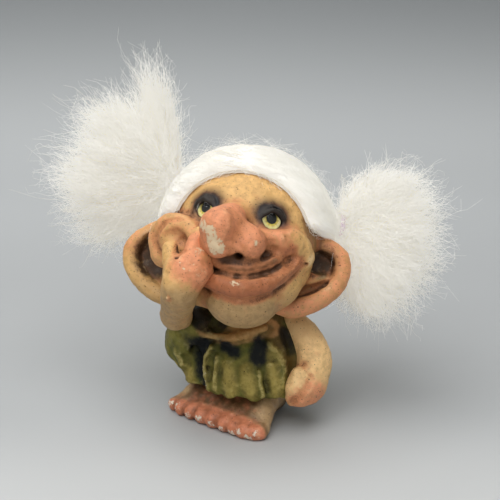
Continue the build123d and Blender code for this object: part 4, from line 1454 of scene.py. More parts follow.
class StrandTree:
    """Geometry nodes that grow one strand of fur on each point of a mesh.

    Each point carries its root, bow and tip, which the strand bends through, and a tint that sets its
    own curl.
    """

    def __init__(self) -> None:
        """Builds the tree."""
        self.group = bpy.data.node_groups.new("fur_strands", "GeometryNodeTree")
        self.group.is_modifier = True
        self.keys: dict[str, str] = {}
        face = self.group.interface
        face.new_socket("Geometry", in_out="INPUT", socket_type="NodeSocketGeometry")
        face.new_socket("Geometry", in_out="OUTPUT", socket_type="NodeSocketGeometry")
        for label, kind in (
            ("Points", "NodeSocketInt"),
            ("Root radius", "NodeSocketFloat"),
            ("Tip share", "NodeSocketFloat"),
            ("Curl", "NodeSocketFloat"),
            ("Curl size", "NodeSocketFloat"),
            ("Material", "NodeSocketMaterial"),
        ):
            self.keys[label] = face.new_socket(label, in_out="INPUT", socket_type=kind).identifier
        self._wire()

    def _add(self, kind: str, feeds: dict | None = None, **settings: object) -> bpy.types.Node:
        """One node, its settings and what feeds it."""
        node = self.group.nodes.new(kind)
        for label, value in settings.items():
            setattr(node, label, value)
        for label, value in (feeds or {}).items():
            socket = node.inputs[label]
            if isinstance(value, Socket):
                self.group.links.new(value, socket)
            else:
                socket.default_value = value
        return node

    def _sum(self, kind: str, a: object, b: object = 0.0) -> Socket:
        """One sum of two numbers."""
        return self._add("ShaderNodeMath", {0: a, 1: b}, operation=kind).outputs[0]

    def _turn(self, kind: str, a: object, b: object = None, scale: object = None) -> Socket:
        """One sum of two vectors, or a vector and a scale."""
        feeds = {0: a}
        if b is not None:
            feeds[1] = b
        if scale is not None:
            feeds[3] = scale
        return self._add("ShaderNodeVectorMath", feeds, operation=kind).outputs[0]

    def _carried(self, label: str, kind: str) -> Socket:
        """A value that the points carry."""
        return self._add(
            "GeometryNodeInputNamedAttribute", {"Name": label}, data_type=kind
        ).outputs["Attribute"]

    def _wire(self) -> None:
        """Links the nodes from points to dressed strands."""
        given = self._add("NodeGroupInput").outputs
        t = self._add("GeometryNodeSplineParameter").outputs["Factor"]
        u = self._sum("SUBTRACT", 1.0, t)
        tint = self._carried("tint", "FLOAT")
        bends = (
            ("root", self._sum("MULTIPLY", u, u)),
            ("bow", self._sum("MULTIPLY", self._sum("MULTIPLY", t, u), 2.0)),
            ("tip", self._sum("MULTIPLY", t, t)),
        )
        spot = None
        for label, share in bends:
            part = self._turn("SCALE", self._carried(label, "FLOAT_VECTOR"), scale=share)
            spot = part if spot is None else self._turn("ADD", spot, part)
        seed = self._turn("SCALE", (13.7, 57.1, 91.3), scale=tint)
        where = self._turn(
            "ADD", self._turn("SCALE", spot, scale=self._sum("DIVIDE", 1.0, given["Curl size"])), seed
        )
        noise = self._add(
            "ShaderNodeTexNoise", {"Vector": where, "Scale": 1.0, "Detail": 1.0}
        ).outputs["Color"]
        sway = self._turn(
            "SCALE", self._turn("SUBTRACT", noise, (0.5, 0.5, 0.5)),
            scale=self._sum("MULTIPLY", given["Curl"], t),
        )
        spot = self._turn("ADD", spot, sway)
        seeds = self._add("GeometryNodeMeshToPoints", {"Mesh": given["Geometry"]}).outputs[0]
        line = self._add("GeometryNodeCurvePrimitiveLine", {"End": (0.0, 0.0, 0.001)}).outputs[0]
        line = self._add("GeometryNodeResampleCurve", {"Curve": line, "Count": given["Points"]}).outputs[0]
        grown = self._add("GeometryNodeInstanceOnPoints", {"Points": seeds, "Instance": line}).outputs[0]
        grown = self._add("GeometryNodeRealizeInstances", {"Geometry": grown}).outputs[0]
        grown = self._add("GeometryNodeSetPosition", {"Geometry": grown, "Position": spot}).outputs[0]
        grown = self._add(
            "GeometryNodeStoreNamedAttribute", {"Geometry": grown, "Name": "along", "Value": t},
            data_type="FLOAT",
        ).outputs[0]
        thin = self._sum(
            "SUBTRACT", 1.0, self._sum("MULTIPLY", t, self._sum("SUBTRACT", 1.0, given["Tip share"]))
        )
        radius = self._sum("MULTIPLY", given["Root radius"], thin)
        grown = self._add("GeometryNodeSetCurveRadius", {"Curve": grown, "Radius": radius}).outputs[0]
        ring = self._add("GeometryNodeCurvePrimitiveCircle", {"Resolution": 3, "Radius": 1.0}).outputs[0]
        skin = self._add(
            "GeometryNodeCurveToMesh", {"Curve": grown, "Profile Curve": ring, "Fill Caps": True}
        )
        if "Scale" in skin.inputs:
            self.group.links.new(radius, skin.inputs["Scale"])
        grown = self._add("GeometryNodeSetShadeSmooth", {"Geometry": skin.outputs[0]}).outputs[0]
        grown = self._add("GeometryNodeRealizeInstances", {"Geometry": grown}).outputs[0]
        grown = self._add(
            "GeometryNodeSetMaterial", {"Geometry": grown, "Material": given["Material"]}
        ).outputs[0]
        self._add("NodeGroupOutput", {"Geometry": grown})

    def grow(self, name: str, strands: "Strands", finish: Material) -> bpy.types.Object:
        """Grows a batch of strands as one plain mesh.

        Args:
            name: Name of the piece.
            strands: The batch.
            finish: Material of the strands.

        Returns:
            The piece, at the origin.
        """
        seeds = bpy.data.meshes.new(name + "_seeds")
        seeds.from_pydata((strands.root * MM).tolist(), [], [])
        for label, values in (("root", strands.root), ("bow", strands.bow), ("tip", strands.tip)):
            seeds.attributes.new(label, "FLOAT_VECTOR", "POINT").data.foreach_set(
                "vector", (values * MM).astype(np.float32).ravel()
            )
        seeds.attributes.new("tint", "FLOAT", "POINT").data.foreach_set(
            "value", strands.tint.astype(np.float32)
        )
        holder = bpy.data.objects.new(name + "_seeds", seeds)
        bpy.context.scene.collection.objects.link(holder)
        grower = holder.modifiers.new("strands", "NODES")
        grower.node_group = self.group
        for label, value in (
            ("Points", strands.points),
            ("Root radius", strands.radius * MM),
            ("Tip share", strands.tip_share),
            ("Curl", strands.curl * MM),
            ("Curl size", strands.curl_size * MM),
            ("Material", finish),
        ):
            grower[self.keys[label]] = value
        graph = bpy.context.evaluated_depsgraph_get()
        mesh = bpy.data.meshes.new_from_object(
            holder.evaluated_get(graph), preserve_all_data_layers=True, depsgraph=graph
        )
        holder.modifiers.remove(grower)
        bpy.data.objects.remove(holder)
        bpy.data.meshes.remove(seeds)
        for label in ("root", "bow", "tip"):
            if label in mesh.attributes:
                mesh.attributes.remove(mesh.attributes[label])
        mesh.name = name
        piece = bpy.data.objects.new(name, mesh)
        bpy.context.scene.collection.objects.link(piece)
        return piece


@dataclass
class Strands:
    """A batch of strands: where each starts, bends and ends, in millimetres on the figure."""

    root: Array
    bow: Array
    tip: Array
    tint: Array
    radius: float = 0.09
    tip_share: float = 0.35
    curl: float = 2.4
    curl_size: float = 9.0
    points: int = 6


@dataclass(frozen=True)
class Tuft:
    """How one batch of a bunch's strands grows.

    Attributes:
        kind: Last part of the piece's name.
        count: How many strands.
        begin: Least and greatest share of the way where they start, and the scatter there in millimetres.
        finish: Least and greatest share of the way where they end, and the scatter there.
        loose: Scatter of the middle, in millimetres.
        seed: What the batch adds to the bunch's seed.
        curl: How far a strand sways, in millimetres.
        curl_size: Length of one sway.
        radius: Radius at the root.
        points: Points along a strand.
    """

    kind: str
    count: int
    begin: Point
    finish: Point
    loose: float
    seed: int
    curl: float
    curl_size: float
    radius: float
    points: int


TUFTS = (
    Tuft("dense", 4200, (0.04, 0.3, 0.5), (0.64, 0.92, 1.4), 2.0, 0, 6.0, 8.0, 0.07, 6),
    Tuft("outer", 3400, (0.1, 0.5, 0.7), (0.76, 0.97, 2.0), 3.0, 1, 13.0, 6.5, 0.08, 10),
    Tuft("fluff", 3400, (0.25, 0.75, 1.2), (0.80, 1.03, 2.8), 4.2, 3, 18.0, 7.5, 0.075, 10),
    Tuft("flyaway", 150, (0.4, 0.7, 0.8), (1.0, 1.12, 3.0), 3.6, 2, 16.0, 13.0, 0.05, 14),
)


def strand_share() -> float:
    return 1.0


@dataclass
class Bunch:
    """One loose bunch of fur that fans out from its tie and swings on it.

    Attributes:
        side: The figure's own side.
        body: The body that swings.
        pivot: Middle of the tie, on the figure.
        along: Direction of the bunch's middle line.
        across: Direction of its greater width.
        length: Reach from the tie.
        half_width: Half its greater width.
        half_depth: Half its lesser width.
        notch: Lean of the parting between two locks, in degrees from the middle line.
        sag: How much further it hangs below the tie, as a share.
        taut: How far the side past the parting is drawn in, in millimetres.
        tall: How much further the lock past the parting reaches, as a share.
        profile: Shares of the length and of the width along the outline.
    """

    side: Side
    body: Body
    pivot: Point
    along: Point
    across: Point
    length: float
    half_width: float
    half_depth: float
    notch: float
    sag: float
    taut: float
    tall: float
    profile: tuple[tuple[float, float], ...]
    NOTCH_DEPTH: ClassVar[float] = 0.18
    NOTCH_WIDTH: ClassVar[float] = 4.5
    CORE_LENGTH: ClassVar[float] = 0.68
    CORE_WIDTH: ClassVar[float] = 0.46
    CORE_NECK: ClassVar[tuple[float, float]] = (1.5, 9.0)

    def outline(self, u: Array) -> tuple[Array, Array]:
        """Distance along the bunch and share of its width at places along the outline."""
        table = np.array(self.profile)
        steps = np.hypot(np.diff(table[:, 0]) * self.length, np.diff(table[:, 1]) * self.half_width)
        run = np.concatenate([[0], np.cumsum(steps)]) / steps.sum()
        return np.interp(u, run, table[:, 0]) * self.length, np.interp(u, run, table[:, 1])

    def edge(self, u: Array, turn: Array) -> Array:
        """Points on the bunch's outside.

        Args:
            u: Place along the outline, 0 at the tie and 1 at the far end.
            turn: Angle round the bunch.

        Returns:
            Points on the figure.
        """
        s, w = self.outline(u)
        side = np.cross(self.along, self.across)
        x, y = w * self.half_width * np.cos(turn), w * self.half_depth * np.sin(turn)
        x = x - self.taut * self._drawn(turn) * np.clip(3.0 * w, 0.0, 1.0)
        lean = np.degrees(np.arctan2(x, s))
        lobes = 1.0 + 0.04 * np.sin(5 * turn + 3 * u) + 0.03 * np.sin(9 * turn - 5 * u + 1.0)
        lobes -= self.NOTCH_DEPTH * np.exp(-(((lean - self.notch) / self.NOTCH_WIDTH) ** 2))
        lobes += self.tall * ease(lean, self.notch + 3.0, self.notch + 13.0)
        off = (
            (s * lobes)[:, None] * np.array(self.along)
            + (x * lobes)[:, None] * np.array(self.across)
            + (y * lobes)[:, None] * side
        )
        off[:, 2] *= np.where(off[:, 2] < 0, 1.0 + self.sag, 1.0)
        return np.array(self.pivot) + off

    def scatter(self, rng: np.random.Generator, count: int) -> tuple[Array, Array, Array]:
        """Ends of strands, evenly over the outside and most of them in locks.

        Args:
            rng: Source of the scatter.
            count: How many.

        Returns:
            Place along the outline, angle round the bunch, and the lock's own reach, for each strand.
        """
        fine = np.linspace(0.0, 1.0, 240)
        weight = np.cumsum(self.outline(fine)[1] + 0.02)
        u = np.interp(rng.random(count), weight / weight[-1], fine)
        turn = rng.uniform(0, 2 * math.pi, count)
        locks = max(count // 14, 1)
        lock = rng.integers(0, locks, count)
        held = rng.random(count) < 0.5
        u = np.where(held, np.clip(u[lock] + rng.normal(0, 0.022, count), 0.02, 1.0), u)
        turn = np.where(held, turn[lock] + rng.normal(0, 0.08, count), turn)
        reach = np.where(held, rng.normal(0, 0.05, locks)[lock], rng.normal(0, 0.04, count))
        return u, turn, reach

    def flow(self, u: Array, turn: Array, a: Array, b: Array) -> Array:
        """Where strands lie on their way from the tie to the outside.

        Args:
            u: Place along the outline where each strand ends.
            turn: Angle round the bunch there.
            a: Share of the way.
            b: Second share, the same as a for a point on the strand.

        Returns:
            Points on the figure.
        """
        start = np.array(self.pivot)
        way = self.edge(u, turn) - start
        calm = 1.0 - np.sign(self.taut) * self._drawn(turn)
        swell = (0.18 + 0.14 * np.sin(6.0 * turn + 9.0 * u)) * calm
        bend = start + 0.5 * way + swell[:, None] * self._sideways(way)
        a, b = a[:, None], b[:, None]
        return (1 - a) * (1 - b) * start + (a * (1 - b) + b * (1 - a)) * bend + a * b * (start + way)

    def _sideways(self, way: Array) -> Array:
        """The part of each way that leaves the bunch's middle line."""
        return way - (way @ np.array(self.along))[:, None] * np.array(self.along)

    @staticmethod
    def _drawn(turn: Array) -> Array:
        """How much each angle belongs to the side that is drawn in."""
        return ease(np.cos(turn), 0.1, 0.7)

    def strands(self, tuft: Tuft, seed: int) -> Strands:
        """A batch of strands along the flow.

        Args:
            tuft: How the batch grows.
            seed: The bunch's seed.

        Returns:
            The batch.
        """
        count = int(tuft.count * strand_share())
        rng = np.random.default_rng(SEED + seed + tuft.seed)
        u, turn, reach = self.scatter(rng, count)
        a = rng.uniform(tuft.begin[0], tuft.begin[1], count)
        b = rng.uniform(tuft.finish[0], tuft.finish[1], count) + reach
        calm = 1.0 - 0.6 * np.sign(self.taut) * self._drawn(turn)
        scatter = rng.normal(size=(3, count, 3))
        scatter[:2] *= calm[:, None]
        root = self.flow(u, turn, a, a) + tuft.begin[2] * scatter[0]
        bow = self.flow(u, turn, a, b) + tuft.loose * scatter[1]
        tip = self.flow(u, turn, b, b) + tuft.finish[2] * scatter[2]
        shape = {
            "radius": tuft.radius, "curl": tuft.curl, "curl_size": tuft.curl_size, "points": tuft.points
        }
        return Strands(root, bow, tip, rng.random(count), **shape)

    def core(self) -> tuple[Array, list]:
        """The matted inside of the bunch, closed at both ends.

        Returns:
            Corners and faces.
        """
        rings, sides = 22, 36
        turn = 2 * math.pi * np.arange(sides) / sides
        rows = [(np.zeros(1), np.zeros(1), np.ones(1))]
        for i in range(1, rings):
            uneven = 1.0 + 0.06 * np.sin(2.3 * i + 3 * turn) + 0.05 * np.sin(7 * turn - i)
            rows.append((np.full(sides, i / rings), turn, uneven))
        rows.append((np.ones(1), np.zeros(1), np.ones(1)))
        points = []
        for u, angle, uneven in rows:
            way = self.edge(u, angle) - np.array(self.pivot)
            neck = ease(way @ np.array(self.along), *self.CORE_NECK)
            inwards = (self.CORE_LENGTH - self.CORE_WIDTH * uneven * neck)[:, None]
            points.append(np.array(self.pivot) + self.CORE_LENGTH * way - inwards * self._sideways(way))
        faces = [(0, 1 + k, 1 + (k + 1) % sides) for k in range(sides)]
        for i in range(rings - 2):
            a, b = 1 + i * sides, 1 + (i + 1) * sides
            faces.extend((a + k, b + k, b + (k + 1) % sides, a + (k + 1) % sides) for k in range(sides))
        last = 1 + (rings - 2) * sides
        faces.extend((last + k, last + sides, last + (k + 1) % sides) for k in range(sides))
        return np.vstack(points), faces

    def build(self, tree: StrandTree, mat: Material, fur: Material) -> None:
        """Makes the matted core and the batches of strands.

        Args:
            tree: The tree that grows strands.
            mat: Finish of the core.
            fur: Finish of the strands.
        """
        label = self.side.name.lower()
        seed = 10 if self.side is Side.LEFT else 20
        core = make_piece(label + "_bunch_core", *self.core())
        place(core, mat, self.body, [label + "_hair_bunch"])
        for tuft in TUFTS:
            piece = tree.grow(f"{label}_bunch_{tuft.kind}", self.strands(tuft, seed), fur)
            place(piece, fur, self.body)


@dataclass
class Wig:
    """Fur over the skull, combed from the middle to two ties."""

    cell: float = 0.5
    outer: float = 26.3
    inner: float = 22.6
    hairline_set: float = 11.0
    hairline_slope: float = 19.0
    nape_set: float = 3.0
    nape_slope: float = 20.0
    ties: dict[Side, Point] = field(
        default_factory=lambda: {Side.LEFT: (25.0, 10.5, 6.0), Side.RIGHT: (-24.0, 8.0, 14.5)}
    )
    points_to: dict[Side, Point] = field(
        default_factory=lambda: {Side.LEFT: (0.95, 0.28, -0.12), Side.RIGHT: (-0.86, 0.06, 0.51)}
    )
    tie_radius: float = 29.2
    tie_ring: float = 4.15
    tie_twist: float = 0.5
    tie_strand: float = 0.56
    tie_steps: int = 120
    tie_sides: int = 8
    combed_count: int = 5600
    gathered_count: int = 700
    stray_count: int = 700
    locks: int = 120

    def hairline(self) -> Array:
        """Normal of the hairline's plane, to the back."""
        a = math.radians(self.hairline_slope)
        return np.array([0.0, math.cos(a), math.sin(a)])

    def nape(self) -> Array:
        """Normal of the nape's plane, upwards."""
        a = math.radians(self.nape_slope)
        return np.array([0.0, math.sin(a), math.cos(a)])

    def tie_spot(self, side: Side) -> Array:
        """Middle of one tie in the head's frame."""
        return unit(self.ties[side]) * self.tie_radius

    def sculpt(self) -> Sculpt:
        """The matted fur as a rounded shell with a stub for each tie."""
        s = Sculpt(self.cell)
        s.add(Blob((0, 0, 0), (self.outer,) * 3))
        s.carve(Slab(tuple(-self.hairline() * self.hairline_set), tuple(self.hairline())), 3.4)
        s.carve(Slab(tuple(-self.nape() * self.nape_set), tuple(self.nape())), 3.0)
        notch = Roll(((60.0, -8.0, -9.6), (-60.0, -8.0, -9.6)), (11.2, 11.2))
        s.carve(notch, 2.0)
        for side in Side:
            spot, ahead = self.tie_spot(side), unit(self.points_to[side])
            s.add(Roll((tuple(spot - 7.0 * ahead), tuple(spot - 0.6 * ahead)), (5.4, 2.9)), 2.6)
        s.carve(Blob((0, 0, 0), (self.inner,) * 3), 0.4)
        return s

    def _on_cap(self, d: Array, margin: float) -> Array:
        """Which directions lie on the cap, at least margin millimetres from its edge."""
        p = d * self.outer
        inside = (
            (p @ self.hairline() > margin - self.hairline_set)
            & (p @ self.nape() > margin - self.nape_set)
        )
        return inside & ((p[:, 1] > 2.5 + margin) | (p[:, 2] > 1.6 + margin))

    def combed(self, sculpt: Sculpt, points: Array, normals: Array, count: int, seed: int) -> Strands:
        """Strands that lie on the matted fur and run to the nearer tie.

        Args:
            sculpt: The matted fur.
            points: Its corners, in the head's frame.
            normals: Its normals.
            count: How many strands.
            seed: Seed of the scatter.

        Returns:
            The batch.
        """
        rng = np.random.default_rng(SEED + seed)
        outside = np.flatnonzero(np.linalg.norm(points, axis=1) > self.inner + 0.3)
        pick = rng.choice(outside, count)
        p, n = points[pick] + rng.normal(0.0, 0.2, size=(count, 3)), normals[pick]
        to_left = rng.normal(0.0, 1.2, count) + p[:, 0] + 0.5 > 0
        goal = np.where(to_left[:, None], self.tie_spot(Side.LEFT), self.tie_spot(Side.RIGHT))
        first = unit(np.cross(unit(goal), (0.0, 1.0, 0.3)))
        comb = np.arctan2(np.sum(p * np.cross(unit(goal), first), 1), np.sum(p * first, 1))
        comb = (comb / math.pi + 1.0) * 0.5 * self.locks
        lock = np.floor(comb + 0.4 * rng.normal(size=count)).astype(int) % self.locks
        tint = np.clip(0.7 * rng.random(self.locks)[lock] + 0.3 * rng.random(count), 0.0, 1.0)
        lift = 0.1 + 0.25 * rng.random(self.locks)[lock] + 0.3 * rng.random(count)
        stray = rng.normal(0.0, 0.16, size=(count, 3))
        far = np.linalg.norm(goal - p, axis=1)
        step = np.minimum(0.5 * rng.uniform(7.0, 15.0, count), 0.42 * far)
        path = [p + 0.1 * n]
        for _ in range(2):
            here = path[-1]
            ahead = unit(goal - here) + stray
            ahead = unit(ahead - np.sum(ahead * n, 1)[:, None] * n)
            there = here + step[:, None] * ahead
            for _ in range(4):
                there = there - (sculpt.distance(there) - lift)[:, None] * unit(there)
            path.append(there)
            n = unit(there)
        bow = 2.0 * path[1] - 0.5 * (path[0] + path[2])
        return Strands(
            *(HEAD.to_world(v) for v in (path[0], bow, path[2])), tint, radius=0.055, curl=1.2,
            curl_size=5.0, points=5,
        )

    def gathered(self, count: int, side: Side, seed: int) -> Strands:
        """Strands that rise from the cap into one tie."""
        rng = np.random.default_rng(SEED + seed)
        spot, ahead = self.tie_spot(side), unit(self.points_to[side])
        ring = spokes(ahead, rng.uniform(0, 2 * math.pi, count))
        tip = spot + 2.9 * ring + 0.5 * ahead
        root = spot - 7.0 * ahead + rng.uniform(6.0, 13.0, count)[:, None] * ring
        root = unit(root) * (self.outer + 0.1)
        keep = self._on_cap(unit(root), 1.0)
        bow = spot - 3.0 * ahead + 3.9 * ring + rng.normal(0, 0.25, size=(count, 3))
        points = [HEAD.to_world(v[keep]) for v in (root, bow, tip)]
        return Strands(*points, rng.random(int(keep.sum())), radius=0.085, curl=0.5, curl_size=6.0)

    def stray(self, count: int, seed: int) -> Strands:
        """Short hairs that stand off the cap."""
        rng = np.random.default_rng(SEED + seed)
        d = unit(rng.normal(size=(count * 5, 3)))
        d = d[self._on_cap(d, 3.0)][:count]
        drift = rng.normal(0.0, 0.25, size=d.shape)
        tip = unit(d + 1.2 * drift) * rng.uniform(28.0, 31.0, len(d))[:, None]
        points = [HEAD.to_world(v) for v in (d * 26.0, unit(d + 0.5 * drift) * 28.3, tip)]
        return Strands(*points, rng.random(len(d)), radius=0.045, curl=2.5, curl_size=8.0)

    def build(self, tree: StrandTree, mat: Material, fur: Material) -> None:
        """Makes the matted cap and its strands.

        Args:
            tree: The tree that grows strands.
            mat: Finish of the matted fur.
            fur: Finish of the strands.
        """
        scale = strand_share()
        sculpt = self.sculpt()
        local, points, quads, masks = cast("fur cap", sculpt, True)
        normals = normals_of(local, quads)
        piece = make_piece("fur_cap_mat", points, quads, masks)
        place(piece, mat, Body.FIGURE, ["hair_cap"])
        for i in range(2):
            batch = self.combed(sculpt, local, normals, int(self.combed_count * scale), 30 + i)
            place(tree.grow(f"fur_cap_combed_{i + 1}", batch, fur), fur, Body.FIGURE)
        for side in Side:
            batch = self.gathered(int(self.gathered_count * scale), side, 40 + side.value)
            piece = tree.grow(f"fur_cap_gathered_{side.name.lower()}", batch, fur)
            place(piece, fur, Body.FIGURE)
        batch = self.stray(int(self.stray_count * scale), 50)
        place(tree.grow("fur_cap_stray", batch, fur), fur, Body.FIGURE)

    def build_ties(self, elastic: Material) -> None:
        """Makes the two twisted elastic ties."""
        for side in Side:
            spot, ahead = HEAD.to_world(self.tie_spot(side)), HEAD.matrix() @ unit(self.points_to[side])
            turn = 2 * math.pi * np.arange(self.tie_steps) / self.tie_steps
            out = spokes(ahead, turn)
            points, faces = [], []
            for strand in range(3):
                twist = 13 * turn + 2 * math.pi * strand / 3
                wide = (self.tie_ring + self.tie_twist * np.cos(twist))[:, None]
                path = spot + wide * out + (self.tie_twist * np.sin(twist))[:, None] * ahead
                corner, quads = tube(path, self.tie_strand, self.tie_sides, True)
                faces.extend(tuple(i + strand * len(corner) for i in q) for q in quads)
                points.append(corner)
            label = side.name.lower()
            tie = make_piece(label + "_elastic_tie", np.vstack(points), faces)
            place(tie, elastic, Body.FIGURE, [label + "_hair_tie"])


@dataclass
class Studio:
    """Grey paper sweep, soft light from above and the camera."""

    target: Point = (-1.81, 2.77, 50.18)
    azimuth: float = 36.0
    elevation: float = 18.0
    distance: float = 330.0
    focal: float = 1100.0 / 500.0 * 36.0

    def back(self) -> Vector:
        """Direction from the target to the camera."""
        a, e = math.radians(self.azimuth), math.radians(self.elevation)
        return Vector((math.sin(a) * math.cos(e), -math.cos(a) * math.cos(e), math.sin(e)))

    def build(self) -> None:
        """Sets up the camera, the sweep, the lamps and the world."""
        scene = bpy.context.scene
        scene.view_settings.view_transform = "Standard"
        lens = bpy.data.cameras.new("photo_camera")
        lens.lens, lens.sensor_width = self.focal, 36.0
        lens.clip_start, lens.clip_end = 0.01, 20.0
        camera = bpy.data.objects.new("photo_camera", lens)
        camera.location = Vector(self.target) * MM + self.back() * self.distance * MM
        camera.rotation_mode = "QUATERNION"
        camera.rotation_quaternion = (-self.back()).to_track_quat("-Z", "Y")
        scene.collection.objects.link(camera)
        scene.camera = camera
        self._sweep()
        self._lamp("key", (0.0, -0.26, 0.82), 1.0, 9.3)
        self._lamp("fill", (0.6, -0.55, 0.42), 0.6, 1.1)
        self._lamp("rim", (-0.45, 0.45, 0.5), 0.5, 1.2)
        self._lamp("spark", (0.1, -0.62, 0.62), 0.07, 0.35)
        self._world()

    def _lamp(self, name: str, at: Point, size: float, power: float) -> None:
        """One square soft lamp that looks at the figure."""
        data = bpy.data.lights.new(name + "_lamp", "AREA")
        data.size, data.energy = size, power
        lamp = bpy.data.objects.new(name + "_lamp", data)
        lamp.location = at
        lamp.rotation_mode = "QUATERNION"
        lamp.rotation_quaternion = (Vector((0, 0, 0.045)) - Vector(at)).to_track_quat("-Z", "Y")
        bpy.context.scene.collection.objects.link(lamp)

    def _sweep(self) -> None:
        """Floor that curves up behind the figure, with painted light: lighter in front of the figure, and
        darker towards the top as painted shade.
        """
        away = -Vector((self.back().x, self.back().y, 0)).normalized()
        across = Vector((-away.y, away.x, 0))
        steps = [(along, 0.0) for along in (-1500.0, -600.0, -200.0, -60.0, 0.0, 80.0, 165.0, 260.0)]
        bend = 420.0
        steps += [
            (260.0 + bend * math.sin(t), bend * (1 - math.cos(t))) for t in np.linspace(0.08, 1.35, 18)
        ]
        steps.append((steps[-1][0] + 180.0, steps[-1][1] + 900.0))
        points, run = [], []
        for along, up in steps:
            for s in (-2000.0, -600.0, 0.0, 600.0, 2000.0):
                points.append(tuple(away * along + across * s + Vector((0, 0, up - 0.02))))
                run.append(along + up)
        faces = [
            (5 * i + k, 5 * i + 5 + k, 5 * i + 6 + k, 5 * i + 1 + k)
            for i in range(len(steps) - 1)
            for k in range(4)
        ]
        sweep = make_piece(
            "paper_sweep", np.array(points), [f[::-1] for f in faces], {"run": np.array(run) * MM}
        )
        g = Graph("grey_paper")
        # Painted light on the paper: a lighter band in front of the figure, and painted shade darker towards
        # the top.
        tone = g.mix(g.span(g.mask("run"), -0.06, 0.0), (0.54, 0.55, 0.545), (0.42, 0.432, 0.434))
        tone = g.mix(g.span(g.mask("run"), 0.08, 0.25), tone, (0.485, 0.50, 0.503))
        tone = g.mix(g.span(g.mask("run"), 0.33, 0.66), tone, (0.18, 0.191, 0.195))
        g.shader("Base Color", g.mix(g.math("MULTIPLY", g.noise(60.0, 3.0), 0.06), tone, (0.45, 0.46, 0.46)))
        g.shader("Roughness", 0.75)
        sweep.data.materials.append(g.material)

    def _world(self) -> None:
        """Even light from all round, with a grey background."""
        world = bpy.data.worlds.new("studio")
        world.use_nodes = True
        bpy.context.scene.world = world
        nodes, links = world.node_tree.nodes, world.node_tree.links
        light = nodes["Background"]
        light.inputs["Color"].default_value = (0.95, 0.98, 1.0, 1.0)
        light.inputs["Strength"].default_value = 0.15
        seen = nodes.new("ShaderNodeBackground")
        seen.inputs["Color"].default_value = (0.42, 0.43, 0.43, 1.0)
        rays = nodes.new("ShaderNodeLightPath")
        most = nodes.new("ShaderNodeMath")
        most.operation = "MAXIMUM"
        links.new(rays.outputs["Is Camera Ray"], most.inputs[0])
        links.new(rays.outputs["Is Transmission Ray"], most.inputs[1])
        mix = nodes.new("ShaderNodeMixShader")
        links.new(most.outputs[0], mix.inputs[0])
        links.new(light.outputs[0], mix.inputs[1])
        links.new(seen.outputs[0], mix.inputs[2])
        links.new(mix.outputs[0], nodes["World Output"].inputs["Surface"])


SKIN = CastPaint(
    "painted_skin",
    (0.76, 0.47, 0.185),
    (0.68, 0.415, 0.155),
    (
        Coat("pale", (0.90, 0.62, 0.30), 0.8),
        # Darker, creamier tan: part the paint's tone, part painted shade.
        Coat("cream_and_shade", (0.40, 0.265, 0.125), 0.85),
        Coat("blush", (0.72, 0.255, 0.135), 0.82),
        Coat("lip", (0.39, 0.11, 0.048), 0.85),
        # Brown along the hairline, and painted shade on the upper lip.
        Coat("temple", (0.15, 0.065, 0.022), 0.75, 0.9),
        # Near-black painted shade in the ears, the cheek crease and under the nose.
        Coat("bowl", (0.030, 0.011, 0.003), 0.97, 0.7),
        Coat("shadow", (0.006, 0.008, 0.011), 0.97, 0.3, True),
    ),
)
TUNIC = CastPaint(
    "painted_tunic",
    (0.21, 0.19, 0.042),
    (0.095, 0.105, 0.021),
    (
        # Brown painted shade.
        Coat("umber_shade", (0.12, 0.07, 0.02), 0.85),
        Coat("tan", (0.52, 0.28, 0.11), 0.8),
        # Lighter ochre: part the tunic's paint, part painted highlight.
        Coat("yellow_and_highlight", (0.40, 0.31, 0.085), 0.8),
        Coat("navy", (0.003, 0.005, 0.008), 0.97, 0.5, True),
        # Near-black painted shadow under the chin and in the armpit.
        Coat("black", (0.010, 0.008, 0.006), 0.95, 0.3),
    ),
    # Crease colours: part antiquing, part painted shade.
    flush_and_shade=(0.085, 0.08, 0.018),
    flush_and_shade_strength=0.55,
    wash_and_shade=(0.022, 0.017, 0.006),
    wash_and_shade_strength=0.85,
    # Ridge colour: part dry-brushing, part painted highlight.
    dry_brush_and_highlight=(0.55, 0.47, 0.20),
    speck_share=0.25,
    chip=(0.60, 0.52, 0.33),
    roughness=0.5,
    shine=0.16,
)
FEET = CastPaint(
    "painted_feet",
    (0.58, 0.38, 0.19),
    (0.50, 0.30, 0.14),
    (
        # Brown painted shade under the hem.
        Coat("umber_shade", (0.10, 0.042, 0.012), 0.92),
        Coat("side", (0.58, 0.40, 0.21), 0.8),
        Coat("toes", (0.68, 0.235, 0.125), 0.92, 0.4),
    ),
    # Crease colours: part antiquing, part painted shade.
    flush_and_shade=(0.42, 0.15, 0.07),
    speck_share=0.4,
    chip=(0.82, 0.74, 0.60),
    roughness=0.42,
)


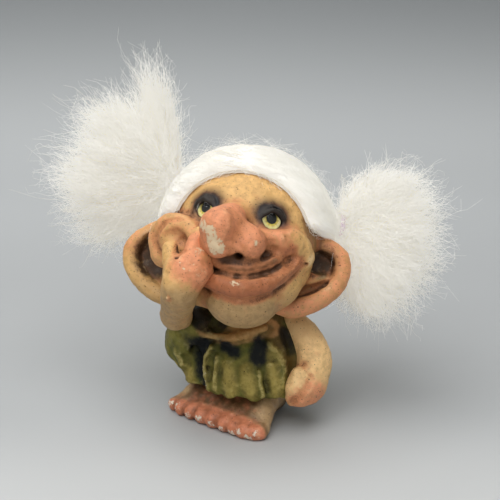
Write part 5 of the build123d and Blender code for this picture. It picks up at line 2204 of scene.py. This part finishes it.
def dress_hidden() -> None:
    """Gives the solids that stay inside the figure their finishes."""
    stock = {
        "eye_wire": PlainStock("eye_wire_steel", (0.42, 0.41, 0.40), (0.25, 0.23, 0.21), 0.6, 0.4, 1.0),
        "scalp_backing": PlainStock("fur_hide", (0.62, 0.50, 0.36), (0.50, 0.38, 0.25), 1.2, 0.7),
        "body_fill": PlainStock("plaster_fill", (0.72, 0.70, 0.65), (0.60, 0.57, 0.52), 1.5, 0.8),
    }
    for name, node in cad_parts.items():
        for label, finish in stock.items():
            if label in name:
                material = bpy.data.materials.get(finish.name) or finish.material()
                node.data.materials.clear()
                node.data.materials.append(material)
                log.info("%s keeps its solid", name)


def main() -> None:
    """Builds the figure piece by piece."""
    logging.basicConfig(level=logging.INFO, format="%(name)s: %(message)s")
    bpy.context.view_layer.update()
    Studio().build()
    skin = SKIN.material()
    eyes = (Eye(Side.LEFT, 6.5), Eye(Side.RIGHT, 10.5))
    Head(eyes).build(skin)
    glass, iris = GlassFinish().material(), IrisFinish().material()
    for eye in eyes:
        eye.build(glass, iris)
    Torso().build(TUNIC.material())
    Feet().build(FEET.material())
    HangingArm().build(skin)
    RaisedArm().build(skin)
    tree = StrandTree()
    mat, fur = FurFinish().material(False), FurFinish().material(True)
    wig = Wig()
    wig.build(tree, mat, fur)
    wig.build_ties(PlainStock("lilac_elastic", (0.66, 0.50, 0.66), (0.80, 0.70, 0.78), 0.35, 0.6).material())
    Bunch(
        side=Side.LEFT,
        body=Body.LEFT_BUNCH,
        pivot=(17.198, 22.832, 55.286),
        along=(0.760983, 0.587236, -0.275788),
        across=(0.0381, -0.464808, -0.884591),
        length=31.0,
        half_width=24.0,
        half_depth=16.0,
        notch=200.0,
        sag=0.05,
        taut=0.0,
        tall=0.0,
        profile=(
            (0.0, 0.0), (0.02, 0.3), (0.12, 0.66), (0.35, 0.92), (0.62, 1.0), (0.86, 0.8), (1.0, 0.38),
            (1.03, 0.0),
        ),
    ).build(tree, mat, fur)
    Bunch(
        side=Side.RIGHT,
        body=Body.RIGHT_BUNCH,
        pivot=(-28.113, 2.02, 66.352),
        along=(-0.87479, -0.113034, 0.471132),
        across=(0.328336, 0.576761, 0.748026),
        length=38.5,
        half_width=29.5,
        half_depth=17.0,
        notch=24.0,
        sag=0.9,
        taut=6.8,
        tall=0.26,
        profile=(
            (0.03, 0.0), (0.05, 0.1), (0.18, 0.42), (0.4, 0.76), (0.66, 0.98), (0.88, 0.86), (1.0, 0.4),
            (1.03, 0.0),
        ),
    ).build(tree, mat, fur)
    dress_hidden()


if __name__ == "__main__":
    main()
